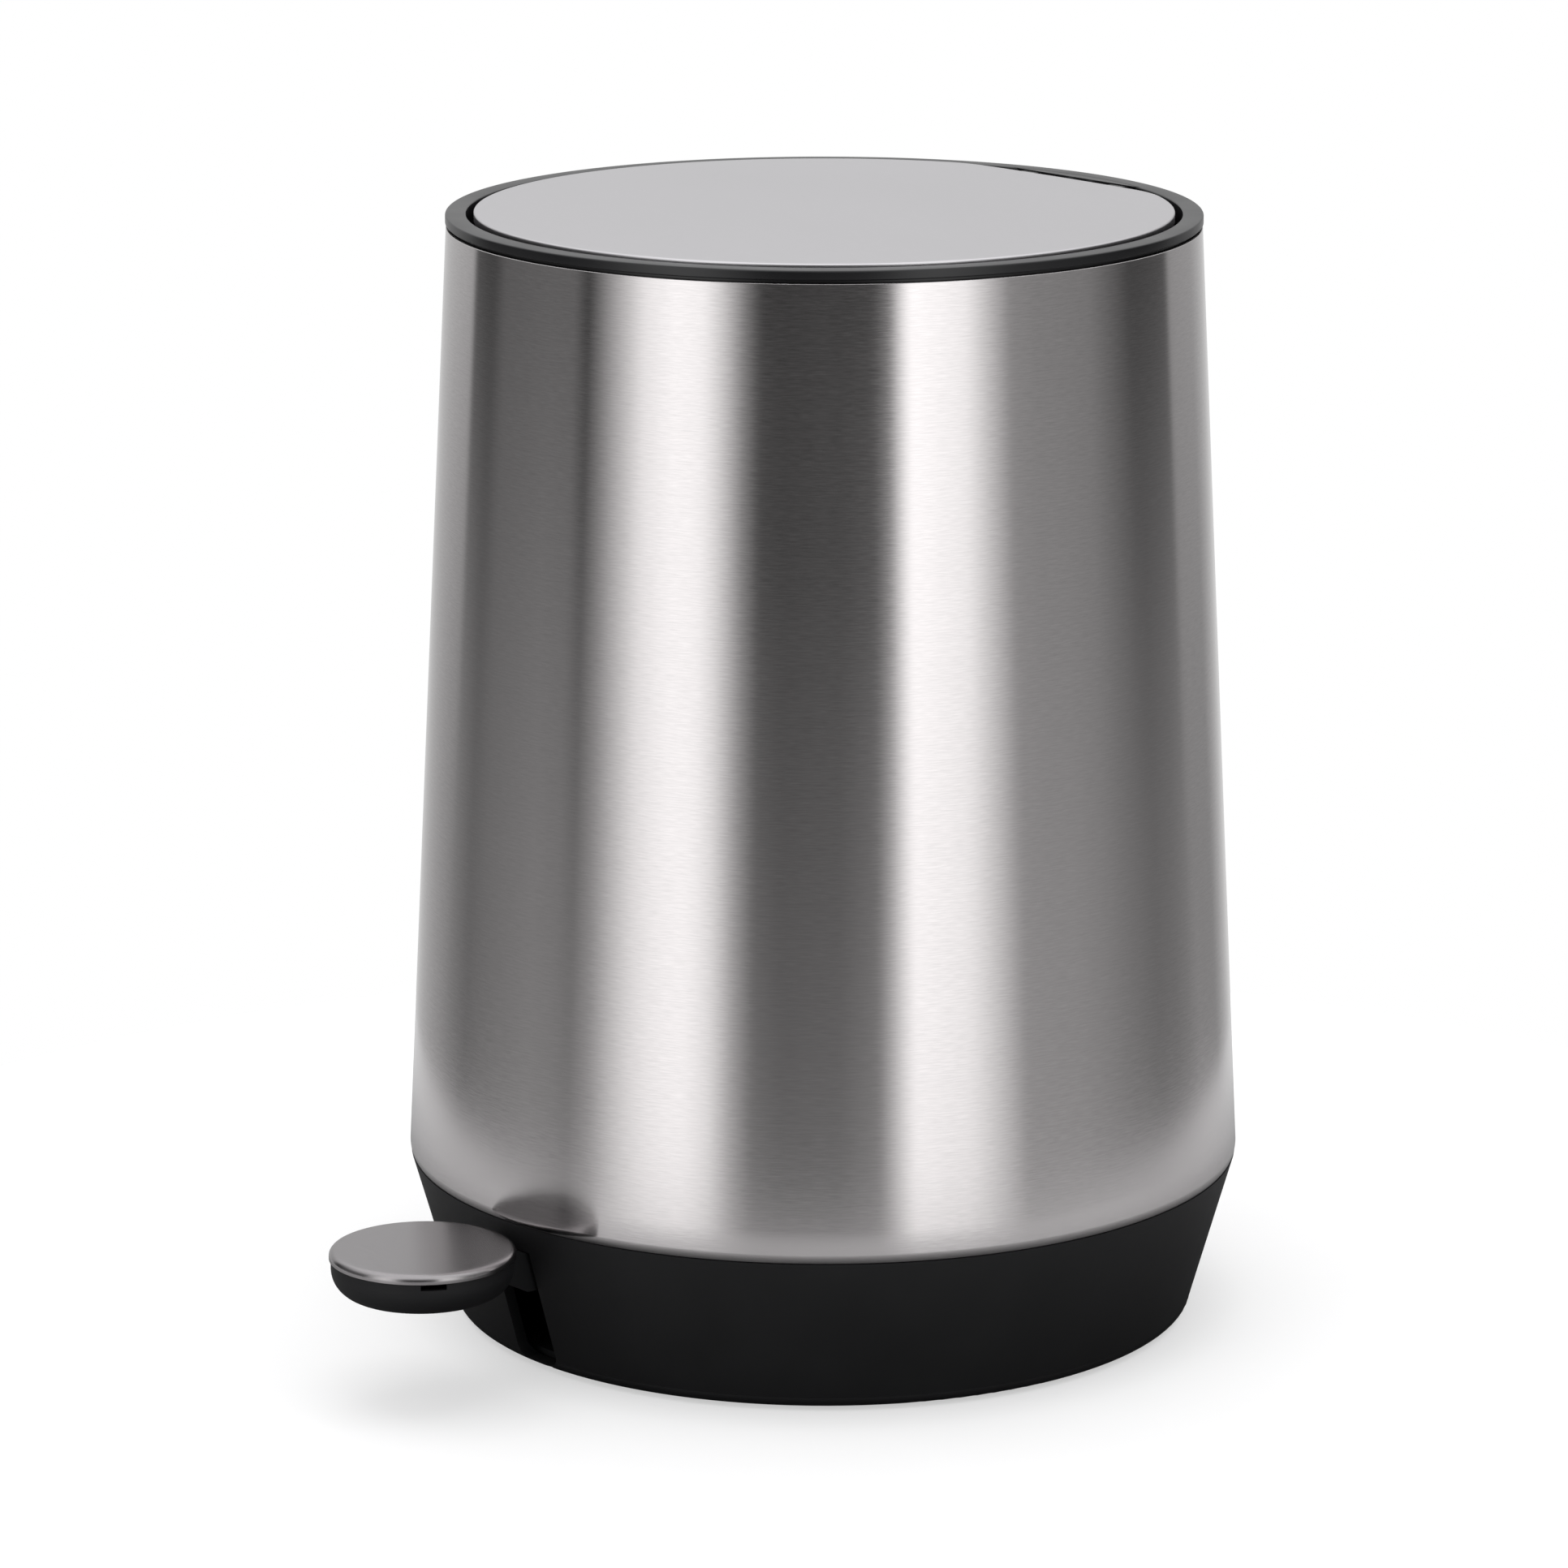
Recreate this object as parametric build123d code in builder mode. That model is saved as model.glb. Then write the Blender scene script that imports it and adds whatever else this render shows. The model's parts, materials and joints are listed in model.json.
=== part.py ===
from build123d import *
import math
import os

# Pedal trash can: a steel tube on a plastic base, a lid hinged in a plastic rim,
# a pedal lever under the base and a push rod that joins the two.
# Millimetres. +Z is up, the pedal points to -Y, the lid hinge is at +Y.

os.makedirs("parts", exist_ok=True)

# ---------------------------------------------------------------- shell and base
SHELL_WALL = 0.6
SHELL_MAX_R = 100.0
SHELL_MAX_Z = 41.2
SHELL_LOW_R = 99.55
SHELL_LOW_Z = 39.1
SHELL_TOP_R = 88.85
SHELL_TOP_Z = 263.4

SKIRT_LOW_Z = 0.8
SKIRT_LOW_R = 89.6
SKIRT_TOP_R = 99.75
SKIRT_TOP_Z = 38.9
DECK_TOP_Z = 38.0
DECK_THICK = 2.4
SLOT_HALF_W = 7.1
SLOT_LOW_Z = 1.9
SLOT_TOP_Z = 32.0

PLATE_R = 84.0
PLATE_LOW_Z = 1.0
PLATE_TOP_Z = 3.0
SCREW_RING_R = 62.0
FOOT_OUTER_R = 82.5
FOOT_INNER_R = 73.0
FOOT_KEY_R = 77.5

# ---------------------------------------------------------------- rim and lid
RIM_R = 89.0
RIM_LOW_Z = 264.0
RIM_TOP_Z = 266.4
RIM_OPEN_R = 84.1
LEDGE_TOP_Z = 254.8
LEDGE_LOW_Z = 252.6
LEDGE_OPEN_R = 80.2
BRIDGE_FRONT_Y = 64.3
COVER_FRONT_Y = 81.5

LID_R = 82.3
LID_FLAT_Y = 75.9
LID_CORNER_R = 24.0
LID_EDGE_Z = 266.9
LID_CROWN = 1.2
LID_ROLL_R = 1.0
LID_SKIN = 0.6
LID_SKIN_LOW_Z = 264.6
LINER_TOP_Z = 266.15
LINER_LOW_Z = 257.0
LINER_PLATE = 1.75

# ---------------------------------------------------------------- mechanism
LID_AXIS_Y = 78.8
LID_AXIS_Z = 263.9
LID_OPEN_DEG = 85.0
HINGE_PIN_R = 1.2
KNUCKLE_R = 2.3
CRANK_R = 9.15
CRANK_PIN_R = 1.25
CRANK_SIDE_PLAY = CRANK_R * (1 - math.cos(math.radians(LID_OPEN_DEG / 2))) / 2
CRANK_LIFT_PLAY = 0.53
ROD_STROKE = 2 * CRANK_R * math.sin(math.radians(LID_OPEN_DEG / 2))
ROD_Y = LID_AXIS_Y - CRANK_R + CRANK_SIDE_PLAY
ROD_R = 2.0
CRANK_Y = LID_AXIS_Y - CRANK_R * math.cos(math.radians(LID_OPEN_DEG / 2))
CRANK_Z = LID_AXIS_Z - ROD_STROKE / 2

AXLE_Y = 0.0
AXLE_Z = 14.5
AXLE_R = 2.5
LEVER_HALF_DEG = math.degrees(math.asin(ROD_STROKE / 2 / (ROD_Y + 0.135)))
LINK_Y = (ROD_Y + 0.135) * math.cos(math.radians(LEVER_HALF_DEG))
LINK_Z = AXLE_Z - ROD_STROKE / 2
LINK_PIN_R = 2.0

PEDAL_Y = -123.2
PEDAL_TOP_Z = 37.1
PEDAL_CAP_R = 21.7
PEDAL_CUP_R = 21.3
PEDAL_LOW_Z = 26.2
CUP_FLOOR_Z = 29.3

# ---------------------------------------------------------------- bucket
BUCKET_LOW_Z = 38.3
BUCKET_BODY_TOP_Z = 247.0
BUCKET_TOP_Z = 250.0
BUCKET_LOW_R = 72.0
BUCKET_FLARE = 6.0
BUCKET_FLAT_Y = 55.9
BUCKET_WALL = 1.6
BAIL_Z = 243.0
BAIL_RING_R = 73.2
BAIL_WIRE_R = 1.5


def keep(builder, name):
    """Label a finished sub-part and write its STEP file."""
    builder.part.label = name
    export_step(builder.part, "parts/" + name + ".step")


def ring_angles(count, start):
    """Evenly spaced angles in degrees around the axis."""
    return [start + 360.0 * i / count for i in range(count)]


def flat_backed_disc(radius, flat_y, corner_r, height):
    """Sketch of a circle with a straight rear edge and rounded corners."""
    with BuildSketch(Plane.XY.offset(height)) as outline:
        Circle(radius)
        with Locations((0, flat_y + radius)):
            Rectangle(4 * radius, 2 * radius, mode=Mode.SUBTRACT)
        rear = outline.vertices().group_by(Axis.Y)[-1]
        fillet(rear, corner_r)
    return outline.sketch


def lid_blank(inset, drop, roll_r, low_z):
    """Crowned lid body with a rolled top edge, used outside and inside of the skin."""
    edge_z = LID_EDGE_Z - drop
    with BuildPart() as blank:
        add(flat_backed_disc(LID_R - inset, LID_FLAT_Y - inset, LID_CORNER_R - inset, low_z))
        extrude(amount=8.0)
        with BuildSketch(Plane.XZ) as crown:
            with BuildLine():
                Polyline((0, low_z - 5), (LID_R + 5, low_z - 5), (LID_R + 5, edge_z - 0.15))
                ThreePointArc(
                    (LID_R + 5, edge_z - 0.15),
                    (LID_R / 2, edge_z + 0.75 * LID_CROWN),
                    (0, edge_z + LID_CROWN),
                )
                Line((0, edge_z + LID_CROWN), (0, low_z - 5))
            make_face()
        revolve(axis=Axis.Z, mode=Mode.INTERSECT)
        top = blank.faces().sort_by(Axis.Z)[-1]
        fillet(top.edges(), roll_r)
    return blank.part


# ================================================================ outer shell
with BuildPart() as outer_shell:
    with BuildSketch(Plane.XZ):
        with BuildLine():
            ThreePointArc(
                (SHELL_LOW_R, SHELL_LOW_Z),
                (SHELL_MAX_R - 0.12, SHELL_LOW_Z + 1.0),
                (SHELL_MAX_R, SHELL_MAX_Z),
            )
            Line((SHELL_MAX_R, SHELL_MAX_Z), (SHELL_TOP_R, SHELL_TOP_Z - 0.7))
            ThreePointArc(
                (SHELL_TOP_R, SHELL_TOP_Z - 0.7),
                (SHELL_TOP_R - 0.2, SHELL_TOP_Z - 0.22),
                (SHELL_TOP_R - 0.6, SHELL_TOP_Z),
            )
            Line((SHELL_TOP_R - 0.6, SHELL_TOP_Z), (SHELL_TOP_R - 0.95, SHELL_TOP_Z))
            Line((SHELL_TOP_R - 0.95, SHELL_TOP_Z), (SHELL_TOP_R - SHELL_WALL, SHELL_TOP_Z - 0.9))
            Line((SHELL_TOP_R - SHELL_WALL, SHELL_TOP_Z - 0.9), (SHELL_MAX_R - SHELL_WALL, SHELL_MAX_Z))
            ThreePointArc(
                (SHELL_MAX_R - SHELL_WALL, SHELL_MAX_Z),
                (SHELL_MAX_R - 0.12 - SHELL_WALL, SHELL_LOW_Z + 1.0),
                (SHELL_LOW_R - SHELL_WALL, SHELL_LOW_Z),
            )
            Line((SHELL_LOW_R - SHELL_WALL, SHELL_LOW_Z), (SHELL_LOW_R, SHELL_LOW_Z))
        make_face()
    revolve(axis=Axis.Z)
keep(outer_shell, "outer_shell")

# ================================================================ base housing
ROD_HOLE_R = ROD_R + 0.35
with BuildPart() as base_housing:
    with BuildSketch(Plane.XZ):
        with BuildLine():
            Line((0, DECK_TOP_Z), (96.2, DECK_TOP_Z))
            Line((96.2, DECK_TOP_Z), (96.2, 50.0))
            Line((96.2, 50.0), (98.6, 50.0))
            Line((98.6, 50.0), (98.9, SHELL_MAX_Z))
            Line((98.9, SHELL_MAX_Z), (98.0, SKIRT_TOP_Z))
            Line((98.0, SKIRT_TOP_Z), (SKIRT_TOP_R, SKIRT_TOP_Z))
            Line((SKIRT_TOP_R, SKIRT_TOP_Z), (SKIRT_LOW_R, SKIRT_LOW_Z + 2.6))
            ThreePointArc(
                (SKIRT_LOW_R, SKIRT_LOW_Z + 2.6),
                (SKIRT_LOW_R - 0.9, SKIRT_LOW_Z + 0.7),
                (SKIRT_LOW_R - 2.4, SKIRT_LOW_Z),
            )
            Line((SKIRT_LOW_R - 2.4, SKIRT_LOW_Z), (84.6, SKIRT_LOW_Z))
            Line((84.6, SKIRT_LOW_Z), (87.0, SKIRT_LOW_Z + 3.6))
            Line((87.0, SKIRT_LOW_Z + 3.6), (96.0, DECK_TOP_Z - DECK_THICK))
            Line((96.0, DECK_TOP_Z - DECK_THICK), (0, DECK_TOP_Z - DECK_THICK))
            Line((0, DECK_TOP_Z - DECK_THICK), (0, DECK_TOP_Z))
        make_face()
    revolve(axis=Axis.Z)
    # Posts that carry the lever axle, with ribs that stiffen them.
    for side in (-1, 1):
        with Locations((side * 12.0, AXLE_Y, 22.0)):
            Box(4.0, 12.0, 28.0)
        with Locations((side * 12.0, 0, 31.5)):
            Box(2.0, 132.0, 9.0)
        with Locations((side * 52.0, 0, 30.0)):
            Box(77.0, 2.0, 12.0)
    with BuildSketch(Plane.YZ.offset(-20)):
        with Locations((AXLE_Y, AXLE_Z)):
            Circle(AXLE_R)
        with Locations((AXLE_Y, AXLE_Z - 8)):
            Rectangle(2 * AXLE_R, 16)
    extrude(amount=40, mode=Mode.SUBTRACT)
    # Screw bosses for the bottom plate.
    for angle in ring_angles(4, 45):
        with Locations(Rotation(0, 0, angle) * Location((SCREW_RING_R, 0, 19.5))):
            Cylinder(4.0, 33.0)
    # Bosses for the two screws of the rod guide.
    for side in (-1, 1):
        with Locations((side * 13.5, 73.0, 32.0)):
            Cylinder(3.6, 8.0)
    with BuildSketch(Plane.XY.offset(PLATE_TOP_Z - 0.01)):
        for angle in ring_angles(4, 45):
            with Locations(Rotation(0, 0, angle) * Location((SCREW_RING_R, 0, 0))):
                Circle(1.45)
    extrude(amount=13.0, mode=Mode.SUBTRACT)
    with BuildSketch(Plane.XY.offset(27.9)):
        with Locations((-13.5, 73.0), (13.5, 73.0)):
            Circle(1.45)
    extrude(amount=12.0, mode=Mode.SUBTRACT)
    # Collar and hole that guide the push rod through the deck.
    with Locations((0, ROD_Y, DECK_TOP_Z + 1.0)):
        Cylinder(4.4, 3.0)
    with Locations((0, ROD_Y, DECK_TOP_Z)):
        Cylinder(ROD_HOLE_R, 20.0, mode=Mode.SUBTRACT)
    # Slot for the pedal arm, with rounded lower corners.
    with BuildSketch(Plane.XZ.offset(80)):
        with BuildLine():
            Line((-SLOT_HALF_W, SLOT_TOP_Z), (-SLOT_HALF_W, SLOT_LOW_Z + 3))
            RadiusArc((-SLOT_HALF_W, SLOT_LOW_Z + 3), (-SLOT_HALF_W + 3, SLOT_LOW_Z), -3)
            Line((-SLOT_HALF_W + 3, SLOT_LOW_Z), (SLOT_HALF_W - 3, SLOT_LOW_Z))
            RadiusArc((SLOT_HALF_W - 3, SLOT_LOW_Z), (SLOT_HALF_W, SLOT_LOW_Z + 3), -3)
            Line((SLOT_HALF_W, SLOT_LOW_Z + 3), (SLOT_HALF_W, SLOT_TOP_Z))
            Line((SLOT_HALF_W, SLOT_TOP_Z), (-SLOT_HALF_W, SLOT_TOP_Z))
        make_face()
    extrude(amount=30, mode=Mode.SUBTRACT)
keep(base_housing, "base_housing")

# ================================================================ bottom plate
with BuildPart() as base_plate:
    with BuildSketch(Plane.XY.offset(PLATE_LOW_Z)):
        Circle(PLATE_R)
    extrude(amount=PLATE_TOP_Z - PLATE_LOW_Z)
    for side in (-1, 1):
        with Locations((side * 12.0, AXLE_Y, 7.5)):
            Box(3.0, 4.6, AXLE_Z - AXLE_R - 3.0)
    with BuildSketch(Plane.XY.offset(PLATE_TOP_Z)):
        Circle(83.0)
        Circle(81.5, mode=Mode.SUBTRACT)
        with Locations((0, -82)):
            Rectangle(20, 8, mode=Mode.SUBTRACT)
    extrude(amount=1.2)
    for angle in ring_angles(4, 45):
        with Locations(Rotation(0, 0, angle) * Location((SCREW_RING_R, 0, 0))):
            with Locations((0, 0, 1.95)):
                Cone(3.65, 1.7, 1.9, mode=Mode.SUBTRACT)
            with Locations((0, 0, 2.5)):
                Cylinder(1.75, 2.0, mode=Mode.SUBTRACT)
    # Groove that keys the rubber foot ring.
    with BuildSketch(Plane.XY.offset(PLATE_LOW_Z)):
        Circle(FOOT_KEY_R + 1.25)
        Circle(FOOT_KEY_R - 1.25, mode=Mode.SUBTRACT)
    extrude(amount=1.15, mode=Mode.SUBTRACT)
keep(base_plate, "base_plate")

# ================================================================ rubber foot ring
with BuildPart() as foot_ring:
    with BuildSketch(Plane.XY):
        Circle(FOOT_OUTER_R)
        Circle(FOOT_INNER_R, mode=Mode.SUBTRACT)
    extrude(amount=PLATE_LOW_Z)
    chamfer(foot_ring.edges().group_by(Axis.Z)[0], 0.3)
    with BuildSketch(Plane.XY.offset(PLATE_LOW_Z - 0.1)):
        Circle(FOOT_KEY_R + 1.2)
        Circle(FOOT_KEY_R - 1.2, mode=Mode.SUBTRACT)
    extrude(amount=1.2)
keep(foot_ring, "foot_ring")

# ================================================================ bottom screws
with BuildPart() as base_screws:
    for angle in ring_angles(4, 45):
        with Locations(Rotation(0, 0, angle) * Location((SCREW_RING_R, 0, 1.95))):
            Cone(3.5, 1.4, 1.7)
        with Locations(Rotation(0, 0, angle) * Location((SCREW_RING_R, 0, 8.4))):
            Cylinder(1.4, 12.0)
    with BuildSketch(Plane.XY.offset(1.0)):
        for angle in ring_angles(4, 45):
            with Locations(Rotation(0, 0, angle) * Location((SCREW_RING_R, 0, 0))):
                Rectangle(3.2, 0.8)
                Rectangle(0.8, 3.2)
    extrude(amount=1.2, mode=Mode.SUBTRACT)
keep(base_screws, "base_screws")

# ================================================================ top rim
with BuildPart() as top_rim:
    with BuildSketch(Plane.XZ):
        with BuildLine():
            Line((RIM_R, RIM_LOW_Z), (RIM_R, RIM_TOP_Z - 0.4))
            RadiusArc((RIM_R, RIM_TOP_Z - 0.4), (RIM_R - 0.4, RIM_TOP_Z), -0.4)
            Line((RIM_R - 0.4, RIM_TOP_Z), (RIM_OPEN_R + 0.3, RIM_TOP_Z))
            RadiusArc((RIM_OPEN_R + 0.3, RIM_TOP_Z), (RIM_OPEN_R, RIM_TOP_Z - 0.3), -0.3)
            Line((RIM_OPEN_R, RIM_TOP_Z - 0.3), (83.3, LEDGE_TOP_Z))
            Line((83.3, LEDGE_TOP_Z), (LEDGE_OPEN_R, LEDGE_TOP_Z))
            Line((LEDGE_OPEN_R, LEDGE_TOP_Z), (LEDGE_OPEN_R, LEDGE_LOW_Z))
            Line((LEDGE_OPEN_R, LEDGE_LOW_Z), (84.9, LEDGE_LOW_Z))
            Line((84.9, LEDGE_LOW_Z), (85.4, 262.4))
            Line((85.4, 262.4), (86.3, 262.4))
            Line((86.3, 262.4), (86.3, 246.0))
            Line((86.3, 246.0), (87.7, 246.0))
            Line((87.7, 246.0), (87.7, RIM_LOW_Z))
            Line((87.7, RIM_LOW_Z), (RIM_R, RIM_LOW_Z))
        make_face()
    revolve(axis=Axis.Z)
    # Fixed segment behind the lid.
    with BuildSketch(Plane.XY.offset(261.4)):
        Circle(84.6)
        with Locations((0, COVER_FRONT_Y - 100)):
            Rectangle(200, 200, mode=Mode.SUBTRACT)
    extrude(amount=RIM_TOP_Z - 261.4)
    # Bridge behind the bucket, with the window for the push rod.
    with BuildSketch(Plane.XY.offset(LEDGE_LOW_Z)):
        Circle(84.0)
        with Locations((0, BRIDGE_FRONT_Y - 100)):
            Rectangle(200, 200, mode=Mode.SUBTRACT)
        with Locations((0, 71.5)):
            RectangleRounded(15.0, 11.4, 1.5, mode=Mode.SUBTRACT)
    extrude(amount=LEDGE_TOP_Z - LEDGE_LOW_Z)
    # Two ears that hold the hinge pin.
    for side in (-1, 1):
        with BuildSketch(Plane.YZ.offset(side * 15.4 - 2.5)):
            with Locations((LID_AXIS_Y, LID_AXIS_Z)):
                Circle(KNUCKLE_R)
            with Locations((LID_AXIS_Y + 2.4, LID_AXIS_Z - 0.05)):
                Rectangle(4.8, 4.5)
            with BuildLine():
                Polyline(
                    (LID_AXIS_Y - 1.8, LID_AXIS_Z - 1.2),
                    (LID_AXIS_Y + 4.6, LID_AXIS_Z + 1.0),
                    (LID_AXIS_Y + 4.4, LEDGE_TOP_Z - 0.5),
                    (LID_AXIS_Y + 0.6, LEDGE_TOP_Z - 0.5),
                    close=True,
                )
            make_face()
        extrude(amount=5.0)
    with BuildSketch(Plane.YZ.offset(-25)):
        with Locations((LID_AXIS_Y, LID_AXIS_Z)):
            Circle(HINGE_PIN_R)
    extrude(amount=50, mode=Mode.SUBTRACT)
keep(top_rim, "top_rim")

# ================================================================ lid bumpers
with BuildPart() as lid_bumpers:
    for angle in (-150, -90, -30):
        with Locations(Rotation(0, 0, angle) * Location((81.7, 0, LEDGE_TOP_Z + 0.95))):
            Cylinder(1.3, 1.9)
    fillet(lid_bumpers.faces().filter_by(Axis.Z).group_by(Axis.Z)[-1].edges(), 0.5)
keep(lid_bumpers, "lid_bumpers")

# ================================================================ lid skin
skin_outside = lid_blank(0.0, 0.0, LID_ROLL_R, LID_SKIN_LOW_Z)
skin_inside = lid_blank(LID_SKIN, LID_SKIN, LID_ROLL_R - LID_SKIN, LID_SKIN_LOW_Z - 1.0)
with BuildPart() as lid_skin:
    add(skin_outside)
    add(skin_inside, mode=Mode.SUBTRACT)
keep(lid_skin, "lid_skin")

# ================================================================ lid liner
LINER_PLATE_LOW_Z = LINER_TOP_Z - LINER_PLATE
with BuildPart() as lid_liner:
    add(flat_backed_disc(LID_R - 0.2, LID_FLAT_Y - 0.2, LID_CORNER_R, LINER_LOW_Z))
    extrude(amount=LID_SKIN_LOW_Z - 0.1 - LINER_LOW_Z)
    add(flat_backed_disc(LID_R - 2.4, LID_FLAT_Y - 2.4, LID_CORNER_R - 2.2, LINER_LOW_Z))
    extrude(amount=LINER_PLATE_LOW_Z - LINER_LOW_Z, mode=Mode.SUBTRACT)
    add(flat_backed_disc(LID_R - 2.1, LID_FLAT_Y - 2.1, LID_CORNER_R - 2.0, LINER_PLATE_LOW_Z))
    extrude(amount=LINER_TOP_Z - LINER_PLATE_LOW_Z)
    # Stiffening ribs under the plate.
    for angle in ring_angles(6, 0):
        with Locations(Rotation(0, 0, angle) * Location((47.0, 0, 263.0))):
            Box(66.0, 1.4, 3.2)
    with BuildSketch(Plane.XY.offset(261.4)):
        Circle(16.0)
        Circle(14.6, mode=Mode.SUBTRACT)
    extrude(amount=3.2)
    # Window in the rear wall for the crank and the rod head.
    with Locations((0, 74.5, 260.4)):
        Box(11.0, 6.0, 8.0, mode=Mode.SUBTRACT)
    # Hinge knuckles.
    for side in (-1, 1):
        with BuildSketch(Plane.YZ.offset(side * 9.25 - 3.25)):
            with Locations((LID_AXIS_Y, LID_AXIS_Z)):
                Circle(KNUCKLE_R)
            with Locations((LID_AXIS_Y - 3.0, LID_AXIS_Z - 0.9)):
                Rectangle(6.0, 2.8)
        extrude(amount=6.5)
    with BuildSketch(Plane.YZ.offset(-25)):
        with Locations((LID_AXIS_Y, LID_AXIS_Z)):
            Circle(HINGE_PIN_R + 0.06)
    extrude(amount=50, mode=Mode.SUBTRACT)
    with BuildSketch(Plane.XY.offset(260.0)):
        with Locations((-7.2, 62.0), (7.2, 62.0)):
            Circle(1.3)
    extrude(amount=5.6, mode=Mode.SUBTRACT)
keep(lid_liner, "lid_liner")

# ================================================================ lid bracket
# Folded steel bracket: a foot plate under the liner and two cheeks.
with BuildPart() as lid_bracket:
    with Locations((0, 62.5, LINER_PLATE_LOW_Z - 0.85)):
        Box(20.0, 12.0, 1.5)
    for side in (-1, 1):
        with BuildSketch(Plane.YZ.offset(side * 3.5 - 1.0)):
            with BuildLine():
                Polyline(
                    (58.0, LINER_PLATE_LOW_Z - 0.2),
                    (LID_AXIS_Y - 0.2, LINER_PLATE_LOW_Z - 0.2),
                    (LID_AXIS_Y - 0.2, LID_AXIS_Z - KNUCKLE_R + 0.1),
                    (CRANK_Y + 1.6, CRANK_Z - 1.6),
                    (CRANK_Y - 1.6, CRANK_Z - 1.6),
                    (58.0, LINER_PLATE_LOW_Z - 2.0),
                    close=True,
                )
            make_face()
            with Locations((LID_AXIS_Y, LID_AXIS_Z)):
                Circle(KNUCKLE_R)
            with Locations((CRANK_Y, CRANK_Z)):
                Circle(2.3)
        extrude(amount=2.0)
    with BuildSketch(Plane.YZ.offset(-10)):
        with Locations((LID_AXIS_Y, LID_AXIS_Z)):
            Circle(HINGE_PIN_R + 0.06)
        with Locations((CRANK_Y, CRANK_Z)):
            Circle(CRANK_PIN_R)
    extrude(amount=20, mode=Mode.SUBTRACT)
    with BuildSketch(Plane.XY.offset(258.0)):
        with Locations((-7.2, 62.0), (7.2, 62.0)):
            Circle(1.45)
    extrude(amount=8.0, mode=Mode.SUBTRACT)
keep(lid_bracket, "lid_bracket")

with BuildPart() as bracket_screws:
    for side in (-1, 1):
        with Locations((side * 7.2, 62.0, LINER_PLATE_LOW_Z - 2.2)):
            Cylinder(2.4, 1.2)
        with Locations((side * 7.2, 62.0, LINER_PLATE_LOW_Z - 0.4)):
            Cylinder(1.25, 3.0)
keep(bracket_screws, "bracket_screws")

# ================================================================ pins
with BuildPart() as hinge_pin:
    with Locations(Location((0, LID_AXIS_Y, LID_AXIS_Z), (0, 90, 0))):
        Cylinder(HINGE_PIN_R, 35.6)
keep(hinge_pin, "hinge_pin")

with BuildPart() as crank_pin:
    with Locations(Location((0, CRANK_Y, CRANK_Z), (0, 90, 0))):
        Cylinder(CRANK_PIN_R, 9.0)
    for side in (-1, 1):
        with Locations(Location((side * 4.8, CRANK_Y, CRANK_Z), (0, 90, 0))):
            Cylinder(1.9, 0.6)
keep(crank_pin, "crank_pin")

# ================================================================ push rod
HEAD_SLOT_HALF_L = CRANK_PIN_R + CRANK_SIDE_PLAY + 0.3
HEAD_SLOT_HALF_H = CRANK_PIN_R + CRANK_LIFT_PLAY
FOOT_SLOT_HALF_L = LINK_PIN_R + 0.44
FOOT_SLOT_HALF_H = LINK_PIN_R + 0.3
ROD_TOP_Z = CRANK_Z - 8.2

with BuildPart() as push_rod:
    with BuildSketch(Plane.XY.offset(LINK_Z + 4.8)):
        with Locations((0, ROD_Y)):
            Circle(ROD_R)
    extrude(amount=ROD_TOP_Z - LINK_Z - 4.8)
    chamfer(push_rod.edges().filter_by(GeomType.CIRCLE), 0.4)
keep(push_rod, "push_rod")

with BuildPart() as rod_head:
    with BuildSketch(Plane.YZ.offset(-2.0)):
        with Locations((ROD_Y, CRANK_Z)):
            SlotOverall(2 * HEAD_SLOT_HALF_L + 3.4, 2 * HEAD_SLOT_HALF_H + 3.4)
        with Locations((ROD_Y, CRANK_Z)):
            SlotOverall(2 * HEAD_SLOT_HALF_L, 2 * HEAD_SLOT_HALF_H, mode=Mode.SUBTRACT)
    extrude(amount=4.0)
    # Flat neck that passes between the cheeks of the lid bracket.
    with Locations((0, ROD_Y, CRANK_Z - 5.2)):
        Box(4.0, 6.8, 5.0)
    with BuildSketch(Plane.XY.offset(ROD_TOP_Z - 10.0)):
        with Locations((0, ROD_Y)):
            Circle(3.4)
    extrude(amount=11.2)
    with BuildSketch(Plane.XY.offset(ROD_TOP_Z - 10.0)):
        with Locations((0, ROD_Y)):
            Circle(ROD_R)
    extrude(amount=10.0, mode=Mode.SUBTRACT)
keep(rod_head, "rod_head")

with BuildPart() as rod_foot:
    with BuildSketch(Plane.YZ.offset(-3.0)):
        with Locations((ROD_Y, LINK_Z)):
            SlotOverall(2 * FOOT_SLOT_HALF_L + 3.2, 2 * FOOT_SLOT_HALF_H + 3.0)
        with Locations((ROD_Y, LINK_Z)):
            SlotOverall(2 * FOOT_SLOT_HALF_L, 2 * FOOT_SLOT_HALF_H, mode=Mode.SUBTRACT)
    extrude(amount=6.0)
    with BuildSketch(Plane.XY.offset(LINK_Z + 3.0)):
        with Locations((0, ROD_Y)):
            Circle(3.4)
    extrude(amount=9.2)
    with BuildSketch(Plane.XY.offset(LINK_Z + 4.8)):
        with Locations((0, ROD_Y)):
            Circle(ROD_R)
    extrude(amount=9.0, mode=Mode.SUBTRACT)
keep(rod_foot, "rod_foot")

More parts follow.
